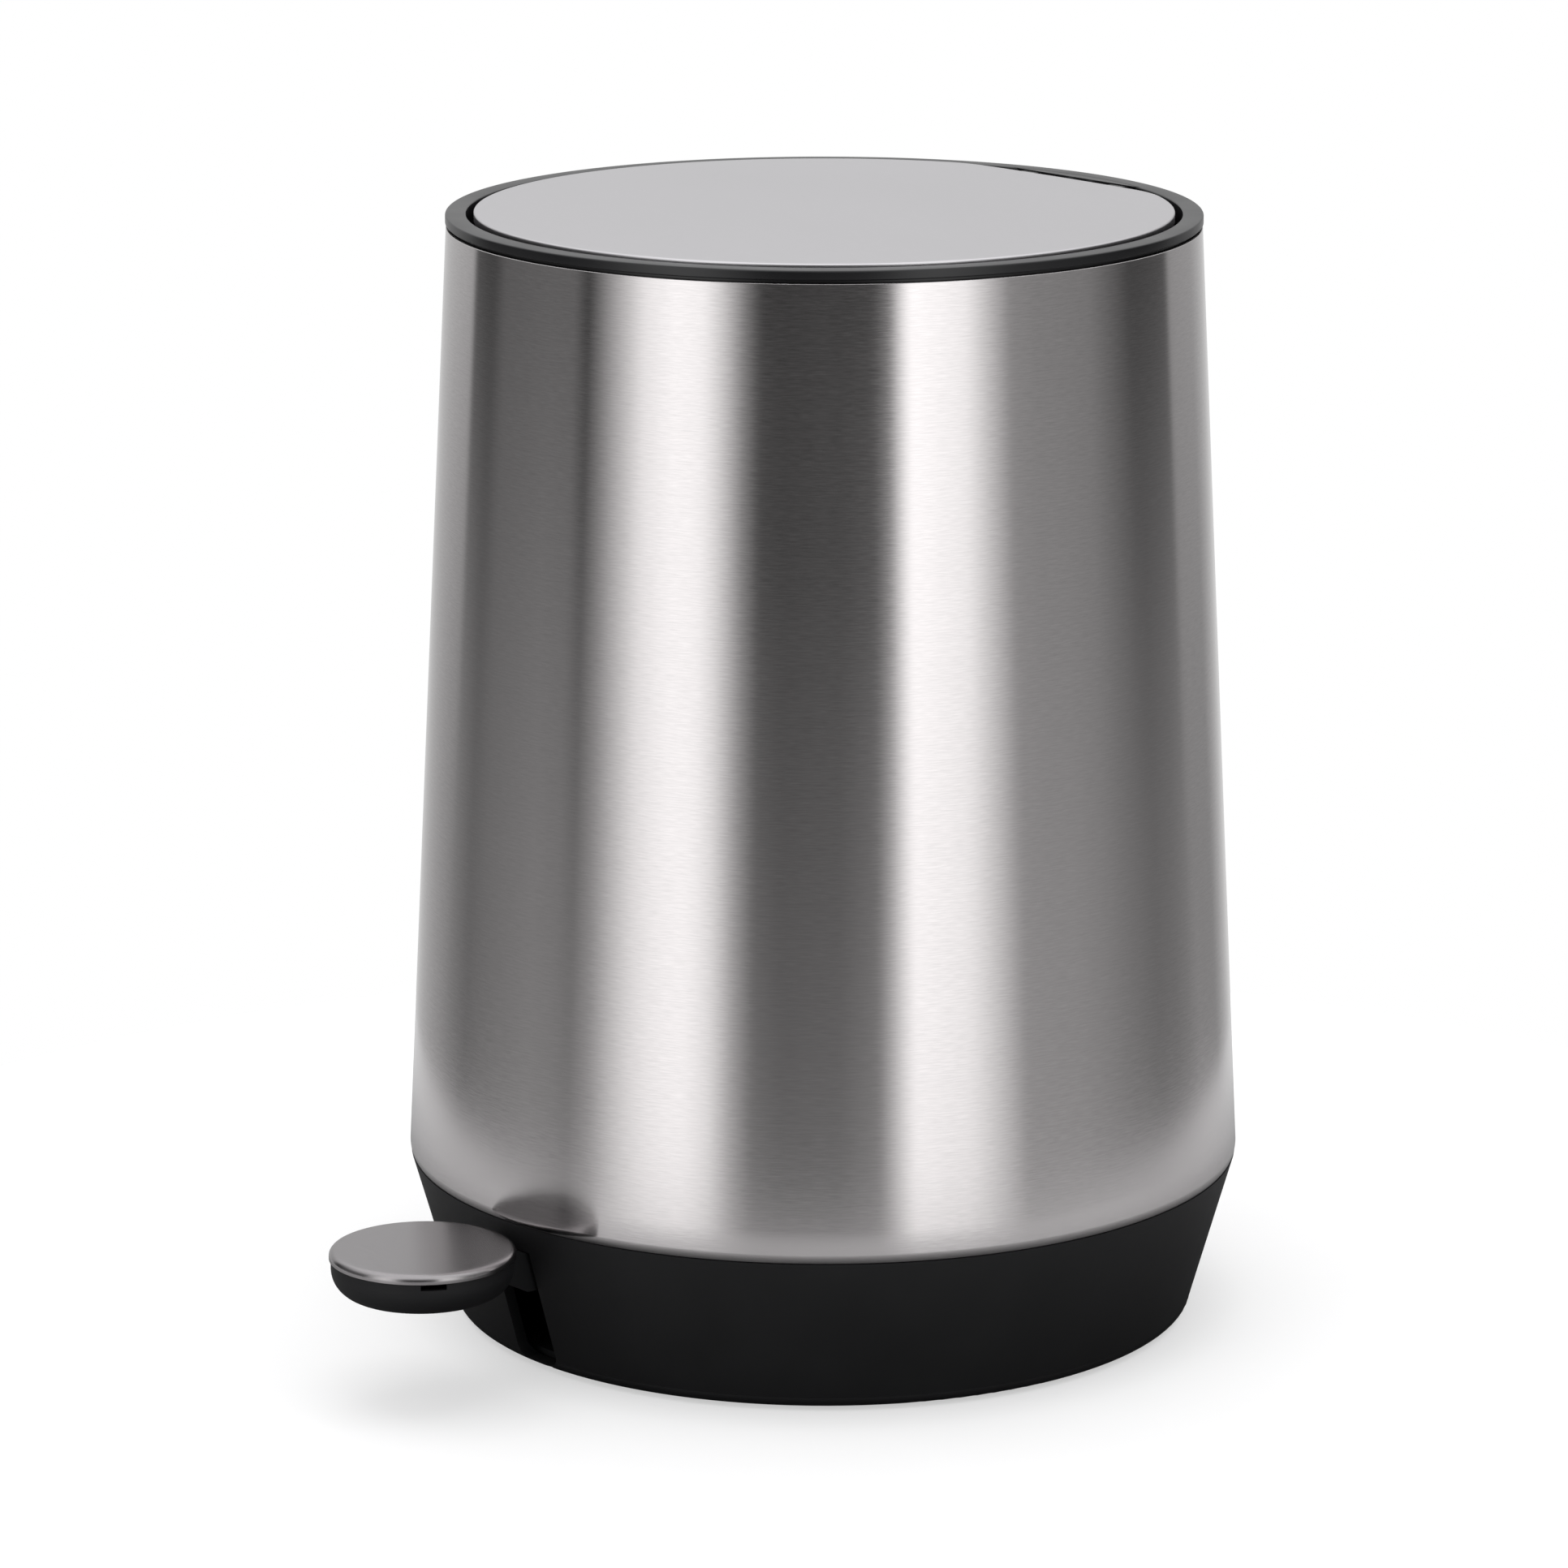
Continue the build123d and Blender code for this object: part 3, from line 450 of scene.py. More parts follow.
@dataclass(frozen=True)
class BrushedSteel:
    """Stainless sheet with fine brush marks, light scratches and a few specks."""

    name: str
    colour: tuple[float, float, float]
    roughness: float
    stretch: float
    course: Course
    mark_length_mm: float = 3.2
    mark_width_mm: float = 0.28
    depth_mm: float = 0.0008
    wear: float = 1.0
    contrast: float = 0.05
    cloud_cells: tuple[float, float, float] = (10.0, 16.0, 16.0)
    speck_cells: tuple[float, float, float] = (38.0, 38.0, 38.0)
    speck_reach: float = 0.011
    scratch_cells: tuple[float, float, float] = (95.0, 9.0, 9.0)
    scratch_reach: float = 0.014

    def material(self) -> bpy.types.Material:
        """Builds the finish from noise stretched along the brush marks.

        Returns:
            The material.
        """
        g = Graph(self.name)
        charted = self.course is Course.ROUND_THE_TUBE
        along, across = 1000 / self.mark_length_mm, 1000 / self.mark_width_mm
        fine = g.noise(g.coordinates((along, across, across), charted), 1.5)
        broad = g.noise(g.coordinates((along * 0.2, across * 0.4, across * 0.4), charted), 1.0)
        cloud = g.noise(g.coordinates(self.cloud_cells, charted))
        marks = g.sum(g.spread(fine, 0.25, 0.75, 0.0, 0.75), g.spread(broad, 0.25, 0.75, 0.0, 0.25))
        specks = g.spots(g.coordinates(self.speck_cells, charted), self.speck_reach)
        scratches = g.spots(g.coordinates(self.scratch_cells, charted), self.scratch_reach)
        nicks = g.spread(g.sum(specks, scratches), 0.0, 1.0, 0.0, self.wear)
        dark, light = shade(self.colour, 1 - self.contrast), shade(self.colour, 1 + self.contrast)
        g.feed("Base Color", g.blend(g.sum(marks, nicks), dark, light))
        rough = g.sum(g.spread(marks, 0.0, 1.0, self.roughness - 0.02, self.roughness + 0.02),
                      g.spread(cloud, 0.3, 0.7, -0.012, 0.012))
        g.feed("Roughness", g.sum(rough, g.spread(nicks, 0.0, 1.0, 0.0, 0.25)))
        g.set(Metallic=1.0, Anisotropic=self.stretch)
        if charted:
            g.lay_grain(0.25)
        g.relief(g.sum(marks, nicks), self.depth_mm)
        return g.material


@dataclass(frozen=True)
class MouldedPlastic:
    """Moulded plastic with a fine cast grain, faint flow clouds and light scuffs."""

    name: str
    colour: tuple[float, float, float]
    roughness: float
    grain_mm: float = 0.45
    depth_mm: float = 0.012
    scuff: float = 0.12
    cloud_cells: tuple[float, float, float] = (45.0, 45.0, 45.0)
    scuff_cells: tuple[float, float, float] = (55.0, 55.0, 240.0)
    scuff_reach: float = 0.07

    def material(self) -> bpy.types.Material:
        """Builds the finish from a fine grain, broad clouds and sparse scuffs.

        Returns:
            The material.
        """
        g = Graph(self.name)
        cell = 1000 / self.grain_mm
        grain = g.noise(g.coordinates((cell, cell, cell), False))
        cloud = g.noise(g.coordinates(self.cloud_cells, False), 3.0)
        scuffs = g.spots(g.coordinates(self.scuff_cells, False), self.scuff_reach)
        tone = g.sum(g.spread(cloud, 0.3, 0.7, 0.0, 0.7), g.spread(scuffs, 0.0, 1.0, 0.0, 0.6))
        g.feed("Base Color", g.blend(tone, shade(self.colour, 0.88), shade(self.colour, 1.18)))
        base = g.spread(cloud, 0.3, 0.7, self.roughness - 0.03, self.roughness + 0.04)
        g.feed("Roughness", g.sum(base, g.spread(scuffs, 0.0, 1.0, 0.0, self.scuff)))
        g.set(IOR=1.48)
        g.relief(grain, self.depth_mm)
        return g.material


@dataclass(frozen=True)
class PlatedSteel:
    """Zinc-plated or drawn steel: a dull metal with a cloudy crystal pattern."""

    name: str
    colour: tuple[float, float, float]
    roughness: float
    spangle_mm: float = 3.0
    depth_mm: float = 0.004

    def material(self) -> bpy.types.Material:
        """Builds the finish from clouds of the crystal size and fine draw lines.

        Returns:
            The material.
        """
        g = Graph(self.name)
        cell = 1000 / self.spangle_mm
        spangle = g.noise(g.coordinates((cell, cell, cell), False), 3.0, 0.6)
        fine = g.noise(g.coordinates((cell * 8, cell * 0.8, cell * 8), False))
        mixed = g.sum(g.spread(spangle, 0.3, 0.7, 0.0, 0.6), g.spread(fine, 0.3, 0.7, 0.0, 0.4))
        g.feed("Base Color", g.blend(mixed, shade(self.colour, 0.85), shade(self.colour, 1.08)))
        g.feed("Roughness", g.spread(mixed, 0.0, 1.0, self.roughness - 0.08, self.roughness + 0.08))
        g.set(Metallic=1.0)
        g.relief(mixed, self.depth_mm)
        return g.material


@dataclass(frozen=True)
class SoftRubber:
    """Matte rubber with a dusty, slightly pitted surface."""

    name: str
    colour: tuple[float, float, float]
    pit_cells: float = 1600.0
    dust_cells: float = 90.0
    pit_depth_mm: float = 0.02

    def material(self) -> bpy.types.Material:
        """Builds the finish from fine pits and broad dust.

        Returns:
            The material.
        """
        g = Graph(self.name)
        pits = g.noise(g.coordinates((self.pit_cells,) * 3, False), 3.0)
        dust = g.noise(g.coordinates((self.dust_cells,) * 3, False), 3.0)
        dusty = g.spread(dust, 0.35, 0.7, 0.0, 1.0)
        g.feed("Base Color", g.blend(dusty, self.colour, shade(self.colour, 1.5)))
        g.feed("Roughness", g.spread(dust, 0.3, 0.7, 0.78, 0.92))
        g.relief(pits, self.pit_depth_mm)
        return g.material


TUBE_STEEL = BrushedSteel("tube_steel", (0.635, 0.611, 0.612), 0.14, 0.88, Course.ROUND_THE_TUBE,
                          contrast=0.085)
LID_STEEL = BrushedSteel("lid_steel", (0.675, 0.665, 0.68), 0.36, 0.0, Course.STRAIGHT, wear=0.5,
                         contrast=0.02)
PEDAL_STEEL = BrushedSteel("pedal_steel", (0.35, 0.335, 0.34), 0.24, 0.0, Course.STRAIGHT, contrast=0.05)
BODY_PLASTIC = MouldedPlastic("black_plastic", (0.012, 0.012, 0.013), 0.52)
RIM_PLASTIC = MouldedPlastic("rim_plastic", (0.008, 0.008, 0.009), 0.30, 0.5, 0.004)
LINER_PLASTIC = MouldedPlastic("liner_plastic", (0.016, 0.016, 0.017), 0.45)
PEDAL_PLASTIC = MouldedPlastic("pedal_plastic", (0.003, 0.003, 0.004), 0.62, 0.5, 0.006)
BUCKET_PLASTIC = MouldedPlastic("bucket_plastic", (0.045, 0.046, 0.050), 0.5)
NYLON = MouldedPlastic("nylon", (0.72, 0.71, 0.66), 0.5, 0.4, 0.004)
ZINC_STEEL = PlatedSteel("zinc_steel", (0.62, 0.63, 0.64), 0.42)
BRIGHT_STEEL = PlatedSteel("bright_steel", (0.60, 0.60, 0.61), 0.28, 1.2, 0.002)
RUBBER = SoftRubber("rubber", (0.022, 0.022, 0.022))


def dress(item: bpy.types.Object, material: bpy.types.Material) -> None:
    """Puts one material in every slot of an object, or in a new slot if it has none.

    Args:
        item: The object to dress.
        material: Its finish.
    """
    if not item.material_slots:
        item.data.materials.append(material)
    for place in item.material_slots:
        place.material = material


# ---------------------------------------------------------------------------
# Sub-assemblies
# ---------------------------------------------------------------------------
@dataclass
class SteelTube:
    """The tapered body tube, with its edge turned in at the base and cut square at the top."""

    max_r: float = 100.0
    max_z: float = 41.2
    low_r: float = 99.55
    low_z: float = 39.1
    # Middle point of the turned-in curve: inwards from the widest radius, and up from its low end.
    tuck: tuple[float, float] = (0.12, 1.0)
    top_r: float = 88.85
    top_z: float = 263.4
    wall: float = 0.6
    top_edge: float = 0.1
    lip_depth: float = 0.3
    columns: int = 384

    def profile(self) -> np.ndarray:
        """Outer line up, square top edge, inner line down, as one loop.

        Returns:
            Radius and height pairs in millimetres.
        """
        inset, rise = self.tuck
        low = curve_through((self.low_r, self.low_z), (self.max_r - inset, self.low_z + rise),
                            (self.max_r, self.max_z), 10)
        side = straight((self.max_r, self.max_z), (self.top_r, self.top_z - self.top_edge), 40)
        lip = np.array([(self.top_r - self.top_edge, self.top_z), (self.top_r - self.wall, self.top_z)])
        inner = straight((self.top_r - self.wall, self.top_z - self.lip_depth),
                         (self.max_r - self.wall, self.max_z), 20)
        turn_in = curve_through((self.max_r - self.wall, self.max_z),
                                (self.max_r - inset - self.wall, self.low_z + rise),
                                (self.low_r - self.wall, self.low_z), 8)
        return np.vstack((low, side, lip, inner, turn_in))

    def build(self) -> bpy.types.Object:
        """Makes the tube and sets it in place of its CAD node.

        Returns:
            The finished piece.
        """
        tube = turned(self.profile(), self.columns, True).to_object("body_tube")
        dress(tube, TUBE_STEEL.material())
        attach(tube, "can")
        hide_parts("outer_shell")
        return tube


@dataclass
class LidDisc:
    """The steel skin of the lid: a slightly crowned disc with a straight rear edge and a rolled rim."""

    radius: float = 82.3
    flat_y: float = 75.9
    corner_r: float = 24.0
    edge_z: float = 266.9
    crown: float = 1.2
    roll_r: float = 0.45
    wall: float = 0.4
    low_z: float = 264.6
    # Bevels of the lower edge, outside and inside.
    hem: tuple[float, float] = (0.12, 0.1)
    columns: int = 480

    def outline(self, inset: float) -> np.ndarray:
        """Plan outline moved in by an inset, as points at even angles from +Y.

        The distance from the centre is the nearest of three lines: the straight rear
        edge, a corner circle that touches both, and the big circle.

        Args:
            inset: Distance moved in, in millimetres.

        Returns:
            An array of shape (columns, 2).
        """
        angle = np.linspace(-math.pi, math.pi, self.columns, endpoint=False)
        off = np.abs(angle)
        cy = self.flat_y - self.corner_r
        cx = math.sqrt((self.radius - self.corner_r) ** 2 - cy**2)
        along = np.sin(off) * cx + np.cos(off) * cy
        small = self.corner_r - inset
        corner = along + np.sqrt(np.maximum(along**2 - cx**2 - cy**2 + small**2, 0.0))
        rear = (self.flat_y - inset) / np.maximum(np.cos(off), 1e-6)
        reach = np.where(off < math.atan2(cx, cy), corner, self.radius - inset)
        reach = np.where(off < math.atan2(cx, self.flat_y - inset), rear, reach)
        return np.column_stack((reach * np.sin(angle), reach * np.cos(angle)))

    def height(self, plan: np.ndarray, drop: float) -> np.ndarray:
        """Crowned height: the edge height plus the crown times one minus the squared radius ratio.

        Args:
            plan: Array of X and Y pairs in millimetres.
            drop: How far the face is lowered.

        Returns:
            The height of each point.
        """
        far = np.linalg.norm(plan, axis=-1) / self.radius
        return self.edge_z - drop + self.crown * (1 - far**2)

    def face_rings(self, inset: float, roll: float, drop: float) -> list[np.ndarray]:
        """Rings from near the centre out over the rolled edge.

        Args:
            inset: How far the side is moved in.
            roll: Radius of the rolled edge.
            drop: How far the face is lowered.

        Returns:
            A list of rings, each of shape (columns, 3).
        """
        rings = []
        flat = self.outline(inset + roll)
        for share in np.concatenate((np.linspace(0.02, 0.9, 16), np.linspace(0.93, 1.0, 4))):
            plan = flat * share
            rings.append(np.column_stack((plan, self.height(plan, drop))))
        rim_z = self.height(flat, drop)
        for turn in np.radians(np.linspace(12, 90, 8)):
            plan = self.outline(inset + roll * (1 - math.sin(turn)))
            rings.append(np.column_stack((plan, rim_z - roll * (1 - math.cos(turn)))))
        return rings

    def build(self) -> bpy.types.Object:
        """Makes the skin as one closed sheet and sets it in place of its CAD node.

        Returns:
            The finished piece.
        """
        outside = self.face_rings(0.0, self.roll_r, 0.0)
        inside = self.face_rings(self.wall, self.roll_r - self.wall, self.wall)
        low, (outer, inner) = np.full(self.columns, self.low_z), self.hem
        hem = [np.column_stack((self.outline(0.0), low + outer)),
               np.column_stack((self.outline(outer), low)),
               np.column_stack((self.outline(self.wall - inner), low)),
               np.column_stack((self.outline(self.wall), low + inner))]
        rings = np.stack(outside + hem + inside[::-1])
        step = np.linalg.norm(np.diff(rings, axis=0), axis=2).mean(1)
        run = np.concatenate(([0.0], np.cumsum(step)))
        skin = ring_stack(rings, run, False).to_object("lid_disc", 50.0)
        dress(skin, LID_STEEL.material())
        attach(skin, "lid")
        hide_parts("lid_skin")
        return skin


@dataclass
class TopRim:
    """The plastic ring round the lid, with its fixed rear segment, bridge and hinge ears."""

    outer_r: float = 89.0
    low_z: float = 264.15
    top_z: float = 266.4
    open_r: float = 84.1
    outer_edge: float = 0.4
    inner_edge: float = 0.3
    ledge_top: float = 254.8
    ledge_low: float = 252.6
    ledge_r: float = 80.2
    ledge_corner: float = 83.3
    neck_low_r: float = 84.9
    neck_top_r: float = 85.4
    neck_top: float = 262.4
    spigot_in_r: float = 86.3
    spigot_low: float = 246.0
    spigot_r: float = 87.7
    low_bevel: float = 0.3
    cover_r: float = 84.6
    cover_y: float = 81.5
    cover_low: float = 261.4
    bridge_r: float = 84.0
    bridge_y: float = 64.3
    bridge_columns: int = 240
    # A small turn in radians keeps every ray off the axes, where a side would be met at infinity.
    bridge_turn: float = 0.003
    # Distance along the section at each of the bridge's four rings.
    bridge_run: tuple[float, ...] = (0.0, 2.2, 12.0, 14.2)
    # Width, depth and centre Y of the window in the bridge.
    window: tuple[float, float, float] = (15.0, 11.4, 71.5)
    # Y and Z of the hinge pin.
    axis: tuple[float, float] = (78.8, 263.9)
    knuckle_r: float = 2.3
    knuckle_end: float = 214.0
    ear_from: float = 12.9
    ear_to: float = 17.9
    ear_sink: float = 0.5
    # The ear's foot and its top rear corner, measured back and up from the pin.
    foot_front: float = 0.6
    foot_back: float = 4.4
    ear_top: tuple[float, float] = (4.8, 2.2)
    columns: int = 384

    def ring(self) -> Surface:
        """The ring section, turned round the axis of the can.

        Returns:
            The ring: flange, opening, ledge and the spigot inside the tube.
        """
        r, z, edge, lip = self.outer_r, self.top_z, self.outer_edge, self.inner_edge
        profile = np.vstack((
            np.array([(r - self.low_bevel, self.low_z), (r, self.low_z + self.low_bevel)]),
            arc((r - edge, z - edge), edge, 0, 90, 6),
            arc((self.open_r + lip, z - lip), lip, 90, 180, 5),
            np.array([
                (self.ledge_corner, self.ledge_top), (self.ledge_r, self.ledge_top),
                (self.ledge_r, self.ledge_low), (self.neck_low_r, self.ledge_low),
                (self.neck_top_r, self.neck_top), (self.spigot_in_r, self.neck_top),
                (self.spigot_in_r, self.spigot_low), (self.spigot_r, self.spigot_low),
                (self.spigot_r, self.low_z),
            ]),
        ))
        return turned(profile, self.columns, True)

    def cover(self) -> Surface:
        """The fixed segment behind the lid: an arc closed by its chord, as a plate.

        Returns:
            The segment.
        """
        half = math.degrees(math.acos(self.cover_y / self.cover_r))
        outline = arc((0.0, 0.0), self.cover_r, 90 - half, 90 + half, 40)
        return prism(outline, self.cover_low, self.top_z)

    def bridge(self) -> Surface:
        """The plate behind the bucket: rings between its outline and the window, both seen from one centre.

        Each ring point is where the ray at its angle meets the nearest side: the front line
        or the big circle for the outline, a side of the window for the hole.

        Returns:
            The plate with its window.
        """
        wide, deep, centre_y = self.window
        turn = np.linspace(0, 2 * math.pi, self.bridge_columns, endpoint=False) + self.bridge_turn
        c, s = np.cos(turn), np.sin(turn)
        along = -s * centre_y + np.sqrt((s * centre_y) ** 2 - centre_y**2 + self.bridge_r**2)
        front = np.where(s < 0, (self.bridge_y - centre_y) / np.minimum(s, -1e-6), np.inf)
        outer = np.minimum(along, front)
        inner = np.minimum(wide / 2 / np.maximum(np.abs(c), 1e-6), deep / 2 / np.maximum(np.abs(s), 1e-6))
        rings = []
        for reach, level in ((outer, self.ledge_low), (outer, self.ledge_top), (inner, self.ledge_top),
                             (inner, self.ledge_low)):
            rings.append(np.column_stack((reach * c, centre_y + reach * s, np.full(len(c), level))))
        return ring_stack(np.stack(rings), np.array(self.bridge_run), True)

    def ear(self, side: int) -> Surface:
        """One hinge ear: a round front that runs down into a foot on the ledge.

        Args:
            side: 1 for the right ear, -1 for the left one.

        Returns:
            The ear.
        """
        y, z = self.axis
        foot, (reach, rise) = self.ledge_top - self.ear_sink, self.ear_top
        back = np.array([(y + self.foot_front, foot), (y + self.foot_back, foot), (y + reach, z + rise)])
        outline = np.vstack((arc((y, z), self.knuckle_r, 90, self.knuckle_end, 20), back))
        low, high = sorted((side * self.ear_from, side * self.ear_to))
        return prism(outline, low, high, sideways=True)

    def build(self) -> bpy.types.Object:
        """Makes the rim and sets it in place of its CAD node.

        Returns:
            The finished piece.
        """
        whole = joined((self.ring(), self.cover(), self.bridge(), self.ear(1), self.ear(-1)))
        rim = whole.to_object("rim_ring", 30.0)
        dress(rim, RIM_PLASTIC.material())
        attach(rim, "can")
        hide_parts("top_rim")
        return rim


@dataclass
class PedalDisc:
    """The steel disc pressed over the pedal cup, with a rolled edge."""

    centre_y: float = -123.2
    radius: float = 21.7
    top_z: float = 37.1
    low_z: float = 34.8
    roll_r: float = 1.5
    wall: float = 0.7
    inner_roll_r: float = 0.6
    pole_r: float = 0.4
    # Bevels of the lower edge, outside and inside.
    hem: tuple[float, float] = (0.15, 0.1)

    def build(self) -> bpy.types.Object:
        """Makes the disc and sets it in place of its CAD node.

        Returns:
            The finished piece.
        """
        r, z, pole = self.radius, self.top_z, self.pole_r
        inner, under, soft = r - self.wall, z - self.wall, self.inner_roll_r
        out_hem, in_hem = self.hem
        profile = np.vstack((
            straight((pole, z), (r - self.roll_r, z), 16),
            arc((r - self.roll_r, z - self.roll_r), self.roll_r, 90, 0, 9),
            straight((r, z - self.roll_r), (r, self.low_z + out_hem), 3),
            np.array([(r - out_hem, self.low_z), (inner + in_hem, self.low_z),
                      (inner, self.low_z + in_hem)]),
            arc((inner - soft, under - soft), soft, 0, 90, 5),
            straight((inner - soft, under), (pole, under), 8),
        ))
        disc = turned(profile, 192, False, (0.0, self.centre_y)).to_object("pedal_disc")
        dress(disc, PEDAL_STEEL.material())
        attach(disc, "pedal")
        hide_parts("pedal_cap")
        return disc


@dataclass
class FrameParts:
    """The CAD nodes that keep their own shape and get a finish."""

    remade: tuple[str, ...] = ("outer_shell", "top_rim", "lid_skin", "pedal_cap")

    def finishes(self) -> dict[str, bpy.types.Material]:
        """One material for each slot that CAD nodes keep.

        Returns:
            The materials by slot.
        """
        made = {
            "zinc_steel": ZINC_STEEL, "bright_steel": BRIGHT_STEEL, "black_plastic": BODY_PLASTIC,
            "liner_plastic": LINER_PLASTIC, "pedal_plastic": PEDAL_PLASTIC,
            "bucket_plastic": BUCKET_PLASTIC, "rubber": RUBBER, "nylon": NYLON,
        }
        return {slot: finish.material() for slot, finish in made.items()}

    def build(self) -> list[str]:
        """Dresses each node by the slot that its record names.

        Returns:
            The names of the dressed nodes.
        """
        ready = self.finishes()
        done = []
        for entry in frame["record"]["subparts"]:
            name, slot = entry["node"], entry["material_slot"]
            if slot in ready and name not in self.remade:
                dress(frame["nodes"][name], ready[slot])
                done.append(name)
        return done


# ---------------------------------------------------------------------------
# Studio
# ---------------------------------------------------------------------------
@dataclass
class Studio:
    """Pale floor, soft boxes all round and the camera."""

    view_azimuth: float = 49.0
    view_elevation: float = 13.597
    distance: float = 1.5888
    aim_z: float = 0.1278
    axis_shift: float = 0.00944
    lens: float = 152.1
    sensor: float = 36.0
    lamp_height: float = 1.9
    lamp_size: float = 1.6
    lamp_power: float = 16.0
    floor_r: float = 300.0
    floor_gap: float = 0.05
    floor_low: float = 0.4
    # The paper's tones to the camera, and its own light, which keeps the shadow on it faint.
    paper_tones: tuple[float, float] = (0.44, 0.46)
    paper_light: float = 0.52
    # The floor in reflections carries a painted shadow: dark below the base, paler from one distance in
    # metres to another.
    floor_shadow_tones: tuple[float, float] = (0.08, 0.55)
    floor_shadow_reach: tuple[float, float] = (0.12, 0.26)
    # Spans of the direction's Z where the room changes from low to level, and from level to overhead.
    low_span: tuple[float, float] = (-0.20, -0.07)
    high_span: tuple[float, float] = (0.14, 0.95)
    overhead: tuple[float, float, float] = (0.725, 0.725, 0.734)
    # Brightness of the room just below eye level: degrees from the camera's side, and strength.
    level_boxes: tuple[tuple[float, float], ...] = (
        (-180, 0.62), (-138, 0.60), (-131.5, 0.58), (-129, 0.03), (-117, 0.03), (-111, 0.12), (-80, 0.14),
        (-74.5, 0.0), (-70, 0.22), (-60, 0.86), (-55, 1.30), (-45, 1.54), (-36, 1.42), (-30, 0.85),
        (-24, 0.25), (-19, 0.01), (0, 0.035), (14, 0.02), (19, 0.13), (22, 0.95), (25, 1.70), (42, 1.38),
        (50, 0.72), (56, 0.34), (65, 0.28), (85, 0.25), (94, 0.14), (103, 0.03), (123.5, 0.04),
        (126.5, 0.42), (140, 0.47), (180, 0.62),
    )
    # The same further down, where the dark boards end and pale floor begins.
    low_boxes: tuple[tuple[float, float], ...] = (
        (-180, 0.76), (-155, 0.50), (-140, 0.37), (-120, 0.20), (-90, 0.32), (-75, 0.29), (-68, 0.42),
        (-60, 0.84), (-50, 1.26), (-40, 1.44), (-32, 1.18), (-26, 0.60), (-20, 0.28), (-12, 0.21),
        (4, 0.23), (15, 0.36), (20, 0.96), (25, 1.38), (40, 1.24), (50, 0.84), (58, 0.42), (75, 0.39),
        (93, 0.29), (108, 0.22), (117, 0.24), (130, 0.31), (145, 0.30), (165, 0.68), (180, 0.76),
    )

    def back(self) -> Vector:
        """Direction from the object to the camera."""
        a, e = math.radians(self.view_azimuth), math.radians(self.view_elevation)
        return Vector((math.sin(a) * math.cos(e), -math.cos(a) * math.cos(e), math.sin(e)))

    def camera(self) -> None:
        """Places the camera level, looking along the view direction with the can a little to the right."""
        a = math.radians(self.view_azimuth)
        right, back = Vector((math.cos(a), math.sin(a), 0.0)), self.back()
        up = back.cross(right)
        place = Vector((0, 0, self.aim_z)) - right * self.axis_shift + back * self.distance
        data = bpy.data.cameras.new("camera")
        data.lens, data.sensor_width = self.lens, self.sensor
        data.clip_start, data.clip_end = 0.05, 50.0
        cam = bpy.data.objects.new("camera", data)
        turn = Matrix((right, up, back)).transposed().to_4x4()
        cam.matrix_world = Matrix.Translation(place) @ turn
        bpy.context.scene.collection.objects.link(cam)
        bpy.context.scene.camera = cam

    def floor(self) -> None:
        """A pale round floor: rings of growing radius at height zero."""
        radii = np.linspace(0.02, self.floor_r, 24)
        profile = np.column_stack((radii, np.full(len(radii), -self.floor_gap)))
        under = np.column_stack((radii[::-1], np.full(len(radii), -self.floor_low)))
        ground = turned(np.vstack((profile, under)), 160, False).to_object("floor")
        g = Graph("floor_paper")
        tone = g.noise(g.coordinates((30, 30, 30), False))
        path = g.tree.nodes.new("ShaderNodeLightPath")
        pale = g.blend(tone, *((grey,) * 3 for grey in self.paper_tones))
        # Painted shadow: in reflections the floor is darker near the can and paler further out, by distance
        # from the can's axis.
        far = g.tree.nodes.new("ShaderNodeVectorMath")
        far.operation = "LENGTH"
        g.tree.links.new(g.coordinates((1, 1, 1), False), far.inputs[0])
        share = g.spread(far.outputs["Value"], *self.floor_shadow_reach, 0.0, 1.0)
        mirrored_floor_shadow = g.blend(share, *((grey,) * 3 for grey in self.floor_shadow_tones))
        choose = g.tree.nodes.new("ShaderNodeMix")
        choose.data_type = "RGBA"
        seen = path.outputs["Is Camera Ray"]
        g.tree.links.new(seen, choose.inputs[MIX_AMOUNT])
        g.tree.links.new(mirrored_floor_shadow, choose.inputs[MIX_FIRST])
        g.tree.links.new(pale, choose.inputs[MIX_SECOND])
        g.feed("Base Color", choose.outputs[MIX_RESULT])
        g.feed("Emission Strength", g.spread(seen, 0.0, 1.0, 0.0, self.paper_light))
        g.set(Roughness=0.9, Specular_IOR_Level=0.2, Emission_Color=(1.0, 1.0, 1.0, 1.0))
        dress(ground, g.material)

    def ramp(self, tree: bpy.types.NodeTree, where: bpy.types.NodeSocket,
             boxes: Sequence[tuple[float, float]], top: float) -> bpy.types.NodeSocket:
        """A grey ramp with one stop for each box, as a share of the top brightness.

        Args:
            tree: The world's node tree.
            where: Direction as a share of a full turn; the camera's side is one half.
            boxes: Degrees and strength of each stop.
            top: Strength that becomes 1.

        Returns:
            The ramp's colour.
        """
        node = tree.nodes.new("ShaderNodeValToRGB")
        tree.links.new(where, node.inputs["Fac"])
        stops = node.color_ramp.elements
        while len(stops) < len(boxes):
            stops.new(0.5)
        for stop, (degrees, strength) in zip(stops, boxes):
            stop.position = degrees / 360.0 + 0.5
            stop.color = (strength / top, strength / top, strength / top, 1.0)
        return node.outputs["Color"]

